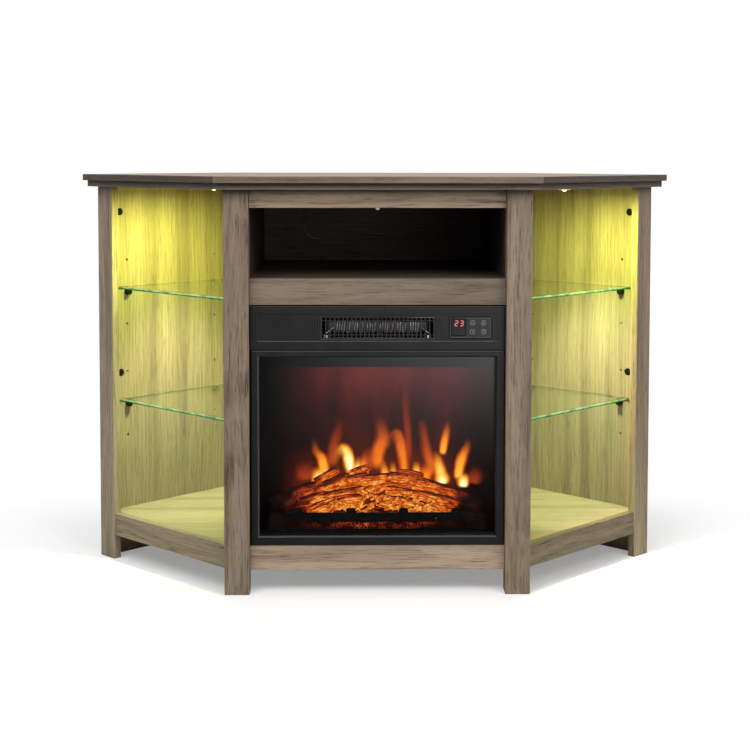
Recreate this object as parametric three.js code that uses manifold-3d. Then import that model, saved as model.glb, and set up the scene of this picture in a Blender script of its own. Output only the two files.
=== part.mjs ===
import * as THREE from 'three';
import { mergeVertices } from 'three/addons/utils/BufferGeometryUtils.js';
import Module from 'manifold-3d';

const wasm = await Module();
wasm.setup();

// Corner TV stand with an electric fireplace, in millimetres, +Z up, front towards -Y.
// The origin is on the floor, in the middle of the stand's width and depth.

// Cabinet
const frontPostWidth = 45;
const frontPostDepth = 36;
const endSetback = 6.5; // from the front posts' faces back to where the open ends start
const backDepth = 510; // from the front posts' faces to the flat middle of the back
const flatBackReach = 78.5; // each way past the front posts' inner sides, up to the slanted backs
const boardThickness = 15;
const outerPostWidth = 45;
const topThickness = 12;
const topFrontOverhang = 29;
const topEndOverhang = 35.4;
const underTopThickness = 12;
const underTopFrontOverhang = 19;
const underTopEndOverhang = 24;
const railSetback = 18; // centre rails behind the front posts' faces
const bottomRailLow = 41;
const bottomRailHeight = 45;
const middleRailHeight = 47;
const cubbyHeight = 128; // between the middle rail and the top rail
const topRailHeight = 33;
const sideRailSetback = 2.4; // lower rails of the open ends behind the end plane
const sideRailLow = 47;
const sideRailHeight = 43;

// Glass shelves and their pegs
const glassThickness = 5;
const glassSetback = 35; // front edge behind the end plane
const glassGap = 2; // round the edge of a shelf
const upperPegDrop = 210.2; // below the top boards
const lowerPegRise = 209.6; // above the bottom shelf
const pegHolePitch = 64;

// Fireplace insert
const insertSetback = 16; // its face behind the front posts' faces
const insertWidth = 458;
const insertHeight = 436;
const insertDepth = 165;
const insertSideGap = 2.5; // to each front post
const insertHeadGap = 2.7; // to the middle rail
const faceDepth = 10; // of the control fascia and the window frame
const fasciaHeight = 78.5;
const frameSeam = 1; // between the control fascia and the window frame
const frameSideBorder = 14.5;
const frameTopBorder = 12.5;
const frameBottomBorder = 17;
const faceLapSide = 7; // of the face past each side of the sheet-metal body
const faceLapTop = 2;
const sheetThickness = 1.2;

const clearance = 0.3; // between neighbouring pieces
const overrun = 1; // how far a cutting tool runs past the face that it cuts

function finish(color, roughness, metalness, opacity = 1) {
  return new THREE.MeshStandardMaterial({
    color, roughness, metalness, opacity, transparent: opacity < 1,
  });
}

const oak = finish(0x8a7866, 0.62, 0);
const clearGlass = finish(0xcfe8dc, 0.05, 0, 0.35);
const blackPlastic = finish(0x26272a, 0.5, 0);
const blackGloss = finish(0x0c0d0f, 0.15, 0);
const blackSteel = finish(0x202124, 0.55, 0.6);
const zincSteel = finish(0xb4b6b8, 0.35, 0.9);
const mica = finish(0xc9b48c, 0.7, 0);
const ceramic = finish(0xf0eee6, 0.4, 0);
const wireAlloy = finish(0xa8a49c, 0.4, 0.9);
const circuitGreen = finish(0x1f5a34, 0.5, 0);
const lampWhite = finish(0xf4f2d8, 0.4, 0);
const frostedSheet = finish(0x3a1a14, 0.6, 0, 0.9);
const resinLog = finish(0x8a3b12, 0.8, 0);
const resinEmber = finish(0x6b2208, 0.8, 0);

// One closed body with merged corners, no empty triangles and its faces pointing out
function closed(geometry) {
  const bare = geometry.clone();
  for (const name of Object.keys(bare.attributes)) {
    if (name !== 'position') bare.deleteAttribute(name);
  }
  const merged = mergeVertices(bare);
  const corners = merged.attributes.position;
  const triangles = [];
  const [a, b, c] = [new THREE.Vector3(), new THREE.Vector3(), new THREE.Vector3()];
  let volume = 0;
  for (let i = 0; i < merged.index.count; i += 3) {
    const [p, q, r] = [0, 1, 2].map((k) => merged.index.getX(i + k));
    if (p === q || q === r || r === p) continue;
    a.fromBufferAttribute(corners, p);
    b.fromBufferAttribute(corners, q);
    c.fromBufferAttribute(corners, r);
    volume += a.dot(b.cross(c));
    triangles.push([p, q, r]);
  }
  const facing = volume < 0 ? triangles.map(([p, q, r]) => [p, r, q]) : triangles;
  merged.setIndex(facing.flat());
  return merged;
}

function toSolid(geometry) {
  const body = closed(geometry);
  return new wasm.Manifold(new wasm.Mesh({
    numProp: 3,
    vertProperties: body.attributes.position.array,
    triVerts: Uint32Array.from(body.index.array),
  }));
}

function toGeometry(solid) {
  const { vertProperties, triVerts } = solid.getMesh();
  const geometry = new THREE.BufferGeometry();
  geometry.setAttribute('position', new THREE.BufferAttribute(vertProperties, 3));
  geometry.setIndex(new THREE.BufferAttribute(triVerts, 1));
  return geometry;
}

function join(...geometries) {
  return toGeometry(geometries.map(toSolid).reduce((whole, piece) => whole.add(piece)));
}

function cut(geometry, ...tools) {
  const hollow = tools.map(toSolid).reduce((whole, tool) => whole.add(tool));
  return toGeometry(toSolid(geometry).subtract(hollow));
}

function shapeOf(outline, holes = []) {
  const shape = new THREE.Shape(outline.map(([x, y]) => new THREE.Vector2(x, y)));
  for (const hole of holes) {
    shape.holes.push(new THREE.Path(hole.map(([x, y]) => new THREE.Vector2(x, y))));
  }
  return shape;
}

const xAxis = new THREE.Vector3(1, 0, 0);
const yAxis = new THREE.Vector3(0, 1, 0);
const zAxis = new THREE.Vector3(0, 0, 1);

// A plan outline, raised from one height to another
function upward(outline, low, high) {
  const depth = high - low;
  return new THREE.ExtrudeGeometry(shapeOf(outline), { depth, bevelEnabled: false })
    .translate(0, 0, low);
}

// An outline seen from the front, in x and z, with a chamfer round its edges if asked
function frontward(outline, front, back, holes = [], bevel = 0) {
  const depth = back - front - 2 * bevel;
  const settings = {
    depth, bevelEnabled: bevel > 0, bevelSize: bevel, bevelThickness: bevel,
    bevelOffset: -bevel, bevelSegments: 1,
  };
  return new THREE.ExtrudeGeometry(shapeOf(outline, holes), settings)
    .applyMatrix4(new THREE.Matrix4().makeBasis(xAxis, zAxis, yAxis.clone().negate()))
    .translate(0, back - bevel, 0);
}

// An outline seen from the side, in y and z
function sideward(outline, left, right) {
  const depth = right - left;
  return new THREE.ExtrudeGeometry(shapeOf(outline), { depth, bevelEnabled: false })
    .applyMatrix4(new THREE.Matrix4().makeBasis(yAxis, zAxis, xAxis))
    .translate(left, 0, 0);
}

function box([left, right], [front, back], [low, high]) {
  return new THREE.BoxGeometry(right - left, back - front, high - low)
    .translate((left + right) / 2, (front + back) / 2, (low + high) / 2);
}

function rectangle([left, right], [low, high]) {
  return [[left, low], [right, low], [right, high], [left, high]];
}

function around(middle, size) {
  return [middle - size / 2, middle + size / 2];
}

function circle([x, y], radius, sides) {
  return Array.from({ length: sides }, (_, i) => {
    const angle = (2 * Math.PI * i) / sides;
    return [x + radius * Math.cos(angle), y + radius * Math.sin(angle)];
  });
}

function roundedRectangle([left, right], [low, high], radius, steps) {
  const corners = [[right, high], [left, high], [left, low], [right, low]];
  return corners.flatMap(([x, y], quarter) => Array.from({ length: steps + 1 }, (_, i) => {
    const angle = (Math.PI / 2) * (quarter + i / steps);
    const inset = [x === left ? radius : -radius, y === low ? radius : -radius];
    return [x + inset[0] + radius * Math.cos(angle), y + inset[1] + radius * Math.sin(angle)];
  }));
}

// Turns a piece made along +Z to face a direction, then moves it to its place
function placed(geometry, place, direction) {
  const turn = new THREE.Quaternion().setFromUnitVectors(zAxis, direction.clone().normalize());
  return geometry.applyQuaternion(turn).translate(...place);
}

// A profile of radius and height, turned about +Z
function turned(profile, sides) {
  const points = profile.map(([radius, height]) => new THREE.Vector2(radius, height));
  return new THREE.LatheGeometry(points, sides).rotateX(Math.PI / 2);
}

function rod(radius, length, sides) {
  return turned([[0, 0], [radius, 0], [radius, length], [0, length]], sides);
}

const stand = new THREE.Group();
const cabinet = new THREE.Group();
stand.add(cabinet);

function add(name, geometry, material, parent = cabinet) {
  const mesh = new THREE.Mesh(closed(geometry), material);
  mesh.name = name;
  parent.add(mesh);
}

// Plan of the cabinet, with the front posts' faces at y = 0. The open ends lie on planes at 45
// degrees. A place near an end is given by how far it is along that plane and how far behind it.
const slant = Math.SQRT1_2;
const postInner = insertWidth / 2 + insertSideGap;
const postOuter = postInner + frontPostWidth;
const partitionOuter = postInner + boardThickness;
const endDistance = (postOuter - endSetback) * slant;
const backDistance = (postInner + flatBackReach + backDepth) * slant;

function endPoint(along, behind) {
  const across = endDistance - behind;
  return [(along + across) * slant, (along - across) * slant];
}

const xOnEnd = (y, behind) => y + (endDistance - behind) / slant;
const yOnEnd = (x, behind) => x - (endDistance - behind) / slant;
const xOnBack = (y, inset) => (backDistance - inset) / slant - y;

// Heights of the boards, stacked from the floor up round the insert and the cubby
const hearthTop = bottomRailLow + bottomRailHeight;
const hearthLow = hearthTop - boardThickness;
const insertLow = hearthTop + clearance;
const middleRailLow = insertLow + insertHeight + insertHeadGap;
const cubbyFloor = middleRailLow + middleRailHeight;
const topRailLow = cubbyFloor + cubbyHeight;
const caseHeight = topRailLow + topRailHeight;
const caseTop = caseHeight - clearance;
const sideShelfTop = sideRailLow + sideRailHeight;
const backInner = backDepth - boardThickness;

// The cabinet is moved so that the middle of its depth is at the origin
cabinet.position.y = (topFrontOverhang - backDepth) / 2;

// The two top boards, of one outline with different overhangs
function topOutline(frontOverhang, endOverhang) {
  const half = [
    [xOnEnd(-frontOverhang, -endOverhang), -frontOverhang],
    endPoint(backDistance, -endOverhang),
    [xOnBack(backDepth, 0), backDepth],
  ];
  return [...half, ...half.map(([x, y]) => [-x, y]).reverse()];
}

const topBoardLow = caseHeight + underTopThickness;
add('under_top', upward(topOutline(underTopFrontOverhang, underTopEndOverhang),
  caseHeight, topBoardLow - clearance), oak);
add('top_board', upward(topOutline(topFrontOverhang, topEndOverhang),
  topBoardLow, topBoardLow + topThickness), oak);

// The middle of the cabinet: rails, hearth board, cubby shelf and back
const innerHalf = postInner - clearance;
const railBack = railSetback + boardThickness;

function rail(name, low, high) {
  add(name, box([-innerHalf, innerHalf], [railSetback, railBack], [low, high]), oak);
}

function middleBoard(name, top) {
  const depth = [railBack + clearance, backInner - clearance];
  add(name, box([-innerHalf, innerHalf], depth, [top - boardThickness, top]), oak);
}

rail('bottom_rail', bottomRailLow, hearthTop);
rail('middle_rail', middleRailLow, cubbyFloor);
rail('top_rail', topRailLow, caseTop);
middleBoard('hearth_board', hearthTop);
middleBoard('cubby_shelf', cubbyFloor);

// The flat middle of the back, mitred to the slanted panels, with a round cable hole
// for the cubby and a slot for the insert's cord
const cableHoleRadius = 25;
const cableHoleAcross = -120;
const cableHoleRise = 70; // above the cubby's floor
const cableHoleSides = 24;
const cordSlotWidth = 160;
const cordSlotHeight = 60;
const cordSlotRise = 45; // above the hearth board

const mitreOuter = xOnBack(backDepth, 0);
const mitreInner = xOnBack(backInner, boardThickness);
const centreBackPlan = [
  [mitreInner - clearance, backInner], [mitreOuter - clearance, backDepth],
  [clearance - mitreOuter, backDepth], [clearance - mitreInner, backInner],
];
const throughBack = [backInner - overrun, backDepth + overrun];
const cableHole = frontward(
  circle([cableHoleAcross, cubbyFloor + cableHoleRise], cableHoleRadius, cableHoleSides),
  ...throughBack,
);
const cordSlot = frontward(
  rectangle(around(0, cordSlotWidth), around(hearthTop + cordSlotRise, cordSlotHeight)),
  ...throughBack,
);
add('centre_back_panel', cut(upward(centreBackPlan, 0, caseTop), cableHole, cordSlot), oak);

// Shelf pegs in their rows of holes, on a partition and on a slanted back panel. Each board and
// the four pegs pushed into it are one solid.
const pegHoleRadius = 2.5;
const pegHoleDepth = 11;
const pegBodyRadius = 6.2;
const pegBodyLength = 9;
const pegSides = 12;
const pegHoleSides = 8;
const partitionPegFront = 60; // behind the front posts' faces
const partitionPegInset = 65; // rear column, in front of the back
const panelPegFront = 57; // behind the end plane
const panelPegInset = 45; // rear column, before the flat middle of the back

const shelfPegHeights = [caseHeight - upperPegDrop, sideShelfTop + lowerPegRise];
const freeHoleHeights = shelfPegHeights.flatMap(
  (height) => [height + pegHolePitch, height - pegHolePitch],
);

function pegHole(place, direction) {
  const hole = rod(pegHoleRadius, pegHoleDepth + overrun, pegHoleSides)
    .translate(0, 0, -pegHoleDepth);
  return placed(hole, place, direction);
}

function peg(place, direction) {
  const body = rod(pegBodyRadius, pegBodyLength + pegHoleDepth, pegSides)
    .translate(0, 0, -pegHoleDepth);
  return placed(body, place, direction);
}

// Sockets of the cam locks that pull the slanted back panels to the outer posts
const camRadius = 7.5;
const camDepth = 3;
const camSetback = 26; // from the panel's end
const upperCamDrop = 51; // below the top boards
const lowerCamRise = 272; // above the bottom shelf
const camSides = 20;

function camSocket(place, direction) {
  const hole = rod(camRadius, camDepth + overrun, camSides).translate(0, 0, -camDepth);
  return placed(hole, place, direction);
}

// The two hands of the cabinet
const panelEnd = boardThickness + clearance;
const mitreBehind = endDistance - (mitreInner - backInner) * slant;
const sideRailBack = sideRailSetback + boardThickness;
const sideShelfFront = sideRailBack + clearance;

function oneSide(side, hand) {
  const plan = (points) => points.map(([x, y]) => [hand * x, y]);

  add(`${side}_front_post`,
    upward(plan(rectangle([postInner, postOuter], [0, frontPostDepth])), 0, caseTop), oak);

  add(`${side}_outer_post`, upward(plan([
    endPoint(backDistance - outerPostWidth, 0), endPoint(backDistance, 0),
    endPoint(backDistance, boardThickness),
    endPoint(backDistance - outerPostWidth, boardThickness),
  ]), 0, caseTop), oak);

  const railEnd = backDistance - outerPostWidth - clearance;
  const railStart = postOuter + clearance;
  add(`${side}_lower_rail`, upward(plan([
    [railStart, yOnEnd(railStart, sideRailSetback)], endPoint(railEnd, sideRailSetback),
    endPoint(railEnd, sideRailBack), [railStart, yOnEnd(railStart, sideRailBack)],
  ]), sideRailLow, sideShelfTop), oak);

  // Partition behind the front post, with two columns of peg holes
  const partitionFaces = [postInner, partitionOuter];
  const partitionDepth = [frontPostDepth + clearance, backInner - clearance];
  const outwards = new THREE.Vector3(hand, 0, 0);
  const partitionPlace = (y, z) => [hand * partitionOuter, y, z];
  const partitionColumns = [partitionPegFront, backInner - partitionPegInset];
  const partitionHoles = partitionColumns.flatMap(
    (y) => freeHoleHeights.map((z) => pegHole(partitionPlace(y, z), outwards)),
  );
  const partitionPegs = partitionColumns.flatMap(
    (y) => shelfPegHeights.map((z) => peg(partitionPlace(y, z), outwards)),
  );
  const partition = upward(plan(rectangle(partitionFaces, partitionDepth)), hearthLow, caseTop);
  add(`${side}_partition`, join(cut(partition, ...partitionHoles), ...partitionPegs), oak);

  // Slanted back panel, mitred to the middle one
  const inwards = new THREE.Vector3(-hand, -1, 0);
  const panelPlace = (behind, z) => {
    const [x, y] = endPoint(backDistance - boardThickness, behind);
    return [hand * x, y, z];
  };
  const panelColumns = [panelPegFront, mitreBehind - panelPegInset];
  const panelHoles = panelColumns.flatMap(
    (behind) => freeHoleHeights.map((z) => pegHole(panelPlace(behind, z), inwards)),
  );
  const panelPegs = panelColumns.flatMap(
    (behind) => shelfPegHeights.map((z) => peg(panelPlace(behind, z), inwards)),
  );
  const sockets = [caseHeight - upperCamDrop, sideShelfTop + lowerCamRise].map(
    (z) => camSocket(panelPlace(panelEnd + camSetback, z), inwards),
  );
  const panel = upward(plan([
    endPoint(backDistance, panelEnd), [mitreOuter, backDepth],
    [mitreInner, backInner], endPoint(backDistance - boardThickness, panelEnd),
  ]), 0, caseTop);
  add(`${side}_back_panel`, join(cut(panel, ...panelHoles, ...sockets), ...panelPegs), oak);

  // Bottom shelf, behind the lower rail and up against the boards round it
  const shelfInset = boardThickness + clearance;
  const shelfBack = backInner - clearance;
  const shelfInner = partitionOuter + clearance;
  add(`${side}_bottom_shelf`, upward(plan([
    [shelfInner, frontPostDepth + clearance], [railStart, frontPostDepth + clearance],
    [railStart, yOnEnd(railStart, sideShelfFront)],
    endPoint(backDistance - shelfInset, sideShelfFront),
    [xOnBack(shelfBack, shelfInset), shelfBack], [shelfInner, shelfBack],
  ]), sideShelfTop - boardThickness, sideShelfTop), oak);

  // Glass shelves, each on four pegs
  const glassInset = boardThickness + glassGap;
  const glassBack = backInner - glassGap;
  const glassInner = partitionOuter + glassGap;
  const glassFront = frontPostDepth + glassGap;
  const glassPlan = plan([
    [glassInner, glassFront], [xOnEnd(glassFront, glassSetback), glassFront],
    endPoint(backDistance - glassInset, glassSetback),
    [xOnBack(glassBack, glassInset), glassBack], [glassInner, glassBack],
  ]);
  ['upper', 'lower'].forEach((level, i) => {
    const low = shelfPegHeights[i] + pegBodyRadius + clearance;
    add(`${side}_${level}_glass_shelf`, upward(glassPlan, low, low + glassThickness), clearGlass);
  });
}

oneSide('left', -1);
oneSide('right', 1);

// Display lights under the top boards, and the remote's receiver under the top rail
const lightRadius = 12;
const lightRimRadius = 10;
const lightHeight = 6.5;
const lightRimHeight = 2;
const lightSides = 20;
const lightInset = 216; // from the slanted back panels' outer faces
const rightLightSetback = 51.5; // behind the end plane
const leftLightSetback = 115;
const receiverRadius = 4;
const receiverSides = 12;
const receiverSteps = 4;

function displayLight(side, hand, setback) {
  const [x, y] = endPoint(backDistance - lightInset, setback);
  const low = caseTop - lightHeight;
  const puck = turned([
    [0, low], [lightRimRadius, low], [lightRadius, low + lightRimHeight],
    [lightRadius, caseTop], [0, caseTop],
  ], lightSides);
  add(`${side}_display_light`, puck.translate(hand * x, y, 0), lampWhite);
}

displayLight('left', -1, leftLightSetback);
displayLight('right', 1, rightLightSetback);

const dome = Array.from({ length: receiverSteps + 1 }, (_, i) => {
  const angle = (Math.PI / 2) * (i / receiverSteps);
  return [receiverRadius * Math.sin(angle), -receiverRadius * Math.cos(angle)];
});
add('remote_receiver', turned([...dome, [0, 0]], receiverSides)
  .translate(0, railSetback + boardThickness / 2, topRailLow - clearance), ceramic);

// The fireplace insert stands on the hearth board. Its own frame has y = 0 on its face and
// z = 0 at its foot.
const insert = new THREE.Group();
insert.position.set(0, insertSetback, insertLow);
cabinet.add(insert);
const fit = (name, geometry, material) => add(name, geometry, material, insert);

const roundSides = 16; // of motors, terminals and the gland
const faceHalf = insertWidth / 2;
const bodyHalf = faceHalf - faceLapSide;
const bodyHeight = insertHeight - faceLapTop;
const bodyInner = bodyHalf - sheetThickness;
const bodyInside = bodyInner - clearance;
const bodyFront = faceDepth + clearance;
const bodyBack = insertDepth - sheetThickness - clearance;
const fasciaLow = insertHeight - fasciaHeight;
const frameTop = fasciaLow - frameSeam;

// Window frame with chamfered edges, and the pane behind it
const frameBevel = 1.6;
const paneThickness = 4;
const paneLap = 6; // behind the frame's top and bottom
const windowHalf = faceHalf - frameSideBorder;
const windowHeights = [frameBottomBorder, frameTop - frameTopBorder];

fit('window_frame', frontward(
  rectangle([-faceHalf, faceHalf], [0, frameTop]), 0, faceDepth,
  [rectangle([-windowHalf, windowHalf], windowHeights)], frameBevel,
), blackPlastic);
fit('front_glass', frontward(
  rectangle([-bodyInside, bodyInside],
    [windowHeights[0] - paneLap, windowHeights[1] + paneLap]),
  bodyFront, bodyFront + paneThickness,
), clearGlass);

// Flicker spindle: a shaft with bright vanes that turns behind the flame screen
const spindleInset = 22; // in front of the insert's back
const spindleHeight = 45;
const shaftRadius = 3;
const shaftSides = 10;
const boreRadius = 3.5;
const vaneCount = 12;
const vaneLength = 22;
const vaneWidth = 22;
const vaneThickness = 0.8;
const vaneInset = 35.5; // from the body's sides to the outer vanes' middles
const bushRadius = 7;
const bushLength = 6;
const spindleMotorRadius = 14;
const spindleMotorLength = 18;
const motorBoreDepth = 8;

// Sheet-metal body. The left side carries the spindle's bush.
const ventWidth = 60;
const ventHeight = 5;
const ventPitch = 11;
const ventRows = 5;
const ventAcross = 110;
const baseLipDepth = 28;
const baseLipHeight = 24;
const glandAcross = 150;
const glandHeight = 40;
const glandNeckRadius = 7.5;
const glandNeckLength = 7;
const glandFlangeRadius = 11;
const glandFlangeLength = 3;
const glandTailRadius = 5.5;
const glandTailLength = 12;

const sideDepth = [bodyFront, bodyBack];
const sideHeight = [0, bodyHeight];
const spindleDepth = insertDepth - spindleInset;
const bushPlace = [-bodyInner, spindleDepth, spindleHeight];
fit('case_left', cut(
  join(
    box([-bodyHalf, -bodyInner], sideDepth, sideHeight),
    placed(rod(bushRadius, bushLength, shaftSides), bushPlace, xAxis),
  ),
  placed(rod(boreRadius, bushLength + overrun, shaftSides), bushPlace, xAxis),
), blackSteel);
fit('case_right', box([bodyInner, bodyHalf], sideDepth, sideHeight), blackSteel);
fit('case_base', sideward([
  [bodyFront, 0], [bodyBack, 0], [bodyBack, sheetThickness],
  [baseLipDepth + sheetThickness, sheetThickness],
  [baseLipDepth + sheetThickness, baseLipHeight], [baseLipDepth, baseLipHeight],
  [baseLipDepth, sheetThickness], [bodyFront, sheetThickness],
], -bodyInside, bodyInside), blackSteel);
fit('case_top', box([-bodyInside, bodyInside],
  sideDepth, [bodyHeight - sheetThickness, bodyHeight]), blackSteel);

const dividerTop = frameTop + frameSeam / 2;
const dividerLow = dividerTop - sheetThickness;
fit('firebox_divider',
  box([-bodyInside, bodyInside], sideDepth, [dividerLow, dividerTop]), blackSteel);

const ventMiddle = (dividerTop + bodyHeight) / 2;
const throughCase = [insertDepth - sheetThickness - overrun, insertDepth + overrun];
const vents = [-1, 1].flatMap((hand) => Array.from({ length: ventRows }, (_, i) => {
  const height = ventMiddle + (i - (ventRows - 1) / 2) * ventPitch;
  return box(around(hand * ventAcross, ventWidth), throughCase, around(height, ventHeight));
}));
const glandHole = placed(rod(glandNeckRadius + clearance, 2 * overrun + sheetThickness, roundSides),
  [glandAcross, throughCase[0], glandHeight], yAxis);
fit('case_back', cut(
  box([-bodyHalf, bodyHalf], [insertDepth - sheetThickness, insertDepth], sideHeight),
  ...vents, glandHole,
), blackSteel);

fit('cord_gland', placed(turned([
  [0, -glandNeckLength], [glandNeckRadius, -glandNeckLength], [glandNeckRadius, clearance],
  [glandFlangeRadius, clearance], [glandFlangeRadius, glandFlangeLength],
  [glandTailRadius, glandTailLength], [0, glandTailLength],
], roundSides), [glandAcross, insertDepth, glandHeight], yAxis), blackPlastic);

// Flame screen between the sides, with the spindle and its motor behind it
const screenInset = 43; // in front of the insert's back
const screenThickness = 2;
const screenDepth = insertDepth - screenInset;
fit('flame_screen', box([-bodyInside, bodyInside],
  [screenDepth, screenDepth + screenThickness],
  [sheetThickness + clearance, dividerLow - clearance]), frostedSheet);

const spindleMotorFace = bodyInside - spindleMotorLength;
const spindleEnd = spindleMotorFace + motorBoreDepth - clearance;
const vaneSpan = 2 * (bodyInside - vaneInset);
const vanes = Array.from({ length: vaneCount }, (_, i) => {
  const middle = vaneSpan * (i / (vaneCount - 1) - 1 / 2);
  const length = around(middle, vaneLength);
  return box(length, around(0, vaneWidth), around(0, vaneThickness))
    .applyMatrix4(new THREE.Matrix4().makeRotationX((Math.PI * 5 * i) / vaneCount));
});
const spindleShaft = placed(
  rod(shaftRadius, spindleEnd + bodyInside, shaftSides), [-bodyInside, 0, 0], xAxis,
);
fit('flame_spindle', join(spindleShaft, ...vanes).translate(0, spindleDepth, spindleHeight),
  zincSteel);

const spindleMotorPlace = [spindleMotorFace, spindleDepth, spindleHeight];
fit('spindle_motor', cut(
  placed(rod(spindleMotorRadius, spindleMotorLength, roundSides), spindleMotorPlace, xAxis),
  placed(rod(boreRadius, motorBoreDepth + overrun, shaftSides).translate(0, 0, -overrun),
    spindleMotorPlace, xAxis),
), zincSteel);

// Ember bed: a lumpy slab on two skirts, over the lamps
const bedInset = 20.5; // from the body's sides
const bedFrontGap = 2.8; // behind the base's lip
const bedBackGap = 6; // in front of the flame screen
const bedLow = 24;
const bedTop = 38;
const bedRise = 8; // from the front of the bed to its back
const bedWall = 4;
const lumpHeight = 3;
const lumpLength = 31;
const lumpDepth = 23;
const bedColumns = 26;
const bedRows = 5;

const onBase = sheetThickness + clearance;
const bedLength = 2 * (bodyInside - bedInset);
const bedDepths = [baseLipDepth + sheetThickness + bedFrontGap, screenDepth - bedBackGap];
const bedMiddle = (bedDepths[0] + bedDepths[1]) / 2;
const bedDepth = bedDepths[1] - bedDepths[0];
const bedSlab = new THREE.BoxGeometry(bedLength, bedDepth, bedTop - bedLow, bedColumns, bedRows, 1)
  .translate(0, bedMiddle, (bedLow + bedTop) / 2);
const bedCorners = bedSlab.attributes.position;
for (let i = 0; i < bedCorners.count; i += 1) {
  const [x, y, z] = [bedCorners.getX(i), bedCorners.getY(i), bedCorners.getZ(i)];
  if (z > (bedLow + bedTop) / 2) {
    const lump = Math.sin((2 * Math.PI * x) / lumpLength + Math.sin((5 * y) / lumpDepth))
      * Math.cos((2 * Math.PI * y) / lumpDepth + Math.sin((3 * x) / lumpLength));
    const slope = (y - bedDepths[0]) / bedDepth;
    bedCorners.setZ(i, z + lumpHeight * lump + bedRise * slope);
  }
}
const bedSpan = [-bedLength / 2, bedLength / 2];
const bedSkirt = [onBase, (bedLow + bedTop) / 2];
const emberBed = join(
  bedSlab,
  box(bedSpan, [bedDepths[0], bedDepths[0] + bedWall], bedSkirt),
  box(bedSpan, [bedDepths[1] - bedWall, bedDepths[1]], bedSkirt),
);
fit('ember_bed', emberBed, resinEmber);

// Lamp board on the base, under the ember bed
const lampBoardInset = 30; // inside the bed's ends
const lampBoardDepth = 30;
const lampBoardThickness = 1.6;
const lampCount = 7;
const lampMargin = 20; // from the board's ends to the outer lamps' middles
const lampSize = 6;
const lampRise = 2.4;

const lampBoardLength = bedLength - 2 * lampBoardInset;
const lampPitch = (lampBoardLength - 2 * lampMargin) / (lampCount - 1);
const lamps = Array.from({ length: lampCount }, (_, i) => box(
  around((i - (lampCount - 1) / 2) * lampPitch, lampSize), around(bedMiddle, lampSize),
  [onBase, onBase + lampBoardThickness + lampRise],
));
fit('lamp_board', join(
  box(around(0, lampBoardLength), around(bedMiddle, lampBoardDepth),
    [onBase, onBase + lampBoardThickness]),
  ...lamps,
), circuitGreen);

// Logs piled on the bed. Each row holds a log's two ends, as shares of half the bed's length,
// of the bed's depth and of the pile's height, and its radius as a share of the geometric mean
// of that depth and height.
const pileHeight = 125;
const barkShare = 0.13;
const logRings = 7;
const logSides = 9;
const logShares = [
  { start: [-0.93, 0.72, 0.57], end: [-0.05, 0.78, 0.84], radius: 0.195 },
  { start: [0.96, 0.72, 0.5], end: [0.17, 0.78, 0.8], radius: 0.189 },
  { start: [-0.72, 0.48, 0.46], end: [-0.08, 0.56, 0.66], radius: 0.159 },
  { start: [0.76, 0.48, 0.44], end: [0.08, 0.56, 0.64], radius: 0.152 },
  { start: [-0.64, 0.27, 0.36], end: [-0.12, 0.3, 0.56], radius: 0.128 },
  { start: [0.58, 0.27, 0.35], end: [0.03, 0.3, 0.53], radius: 0.128 },
  { start: [-0.16, 0.36, 0.62], end: [0.13, 0.7, 0.77], radius: 0.098 },
  { start: [-0.86, 0.36, 0.4], end: [-0.76, 0.58, 0.66], radius: 0.091 },
];

const logScale = Math.sqrt(pileHeight * bedDepth);

function logSolid({ start, end, radius }, seed) {
  const place = ([x, y, z]) => new THREE.Vector3(
    (x * bedLength) / 2, bedDepths[0] + y * bedDepth, z * pileHeight,
  );
  const [from, to] = [place(start), place(end)];
  const length = from.distanceTo(to);
  const grid = new THREE.CylinderGeometry(1, 1, length, logSides, logRings - 1)
    .rotateX(Math.PI / 2).translate(0, 0, length / 2);
  const corners = grid.attributes.position;
  for (let i = 0; i < corners.count; i += 1) {
    const angle = Math.atan2(corners.getY(i), corners.getX(i));
    const share = corners.getZ(i) / length;
    const ripple = Math.sin(2 * angle + seed + 7 * share) + Math.sin(3 * angle + 2.3 * seed);
    const taper = 1 - 0.25 * (2 * share - 1) ** 4;
    const size = radius * logScale * taper * (1 + (barkShare * ripple) / 2);
    corners.setXY(i, corners.getX(i) * size, corners.getY(i) * size);
  }
  return placed(grid, from.toArray(), to.clone().sub(from));
}

const raisedBed = emberBed.clone().translate(0, 0, clearance);
fit('log_set', cut(join(...logShares.map(logSolid)), raisedBed, emberBed), resinLog);

// Grate bar in front of the bed, with four tabs and two feet
const grateInset = 28; // inside the bed's ends
const grateGap = 2; // in front of the base's lip
const grateThickness = 4;
const grateRise = 38;
const grateHeight = 17;
const tabHeight = 8;
const tabWidth = 19;
const tabTopWidth = 15;
const tabInset = 27; // from the bar's ends to the outer tabs' middles
const grateFootWidth = 6;

const grateHalf = bedLength / 2 - grateInset;
const grateBack = baseLipDepth - grateGap;
const grateHeights = [grateRise, grateRise + grateHeight];
const tabOuter = grateHalf - tabInset;
const tabs = [1, 1 / 3, -1 / 3, -1].map((share) => share * tabOuter).flatMap((middle) => [
  [middle + tabWidth / 2, grateHeights[1]], [middle + tabTopWidth / 2, grateHeights[1] + tabHeight],
  [middle - tabTopWidth / 2, grateHeights[1] + tabHeight], [middle - tabWidth / 2, grateHeights[1]],
]);
fit('grate_bar', frontward([
  [-grateHalf, onBase], [grateFootWidth - grateHalf, onBase],
  [grateFootWidth - grateHalf, grateHeights[0]], [grateHalf - grateFootWidth, grateHeights[0]],
  [grateHalf - grateFootWidth, onBase], [grateHalf, onBase],
  [grateHalf, grateHeights[1]], ...tabs, [-grateHalf, grateHeights[1]],
], grateBack - grateThickness, grateBack), blackSteel);

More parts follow.
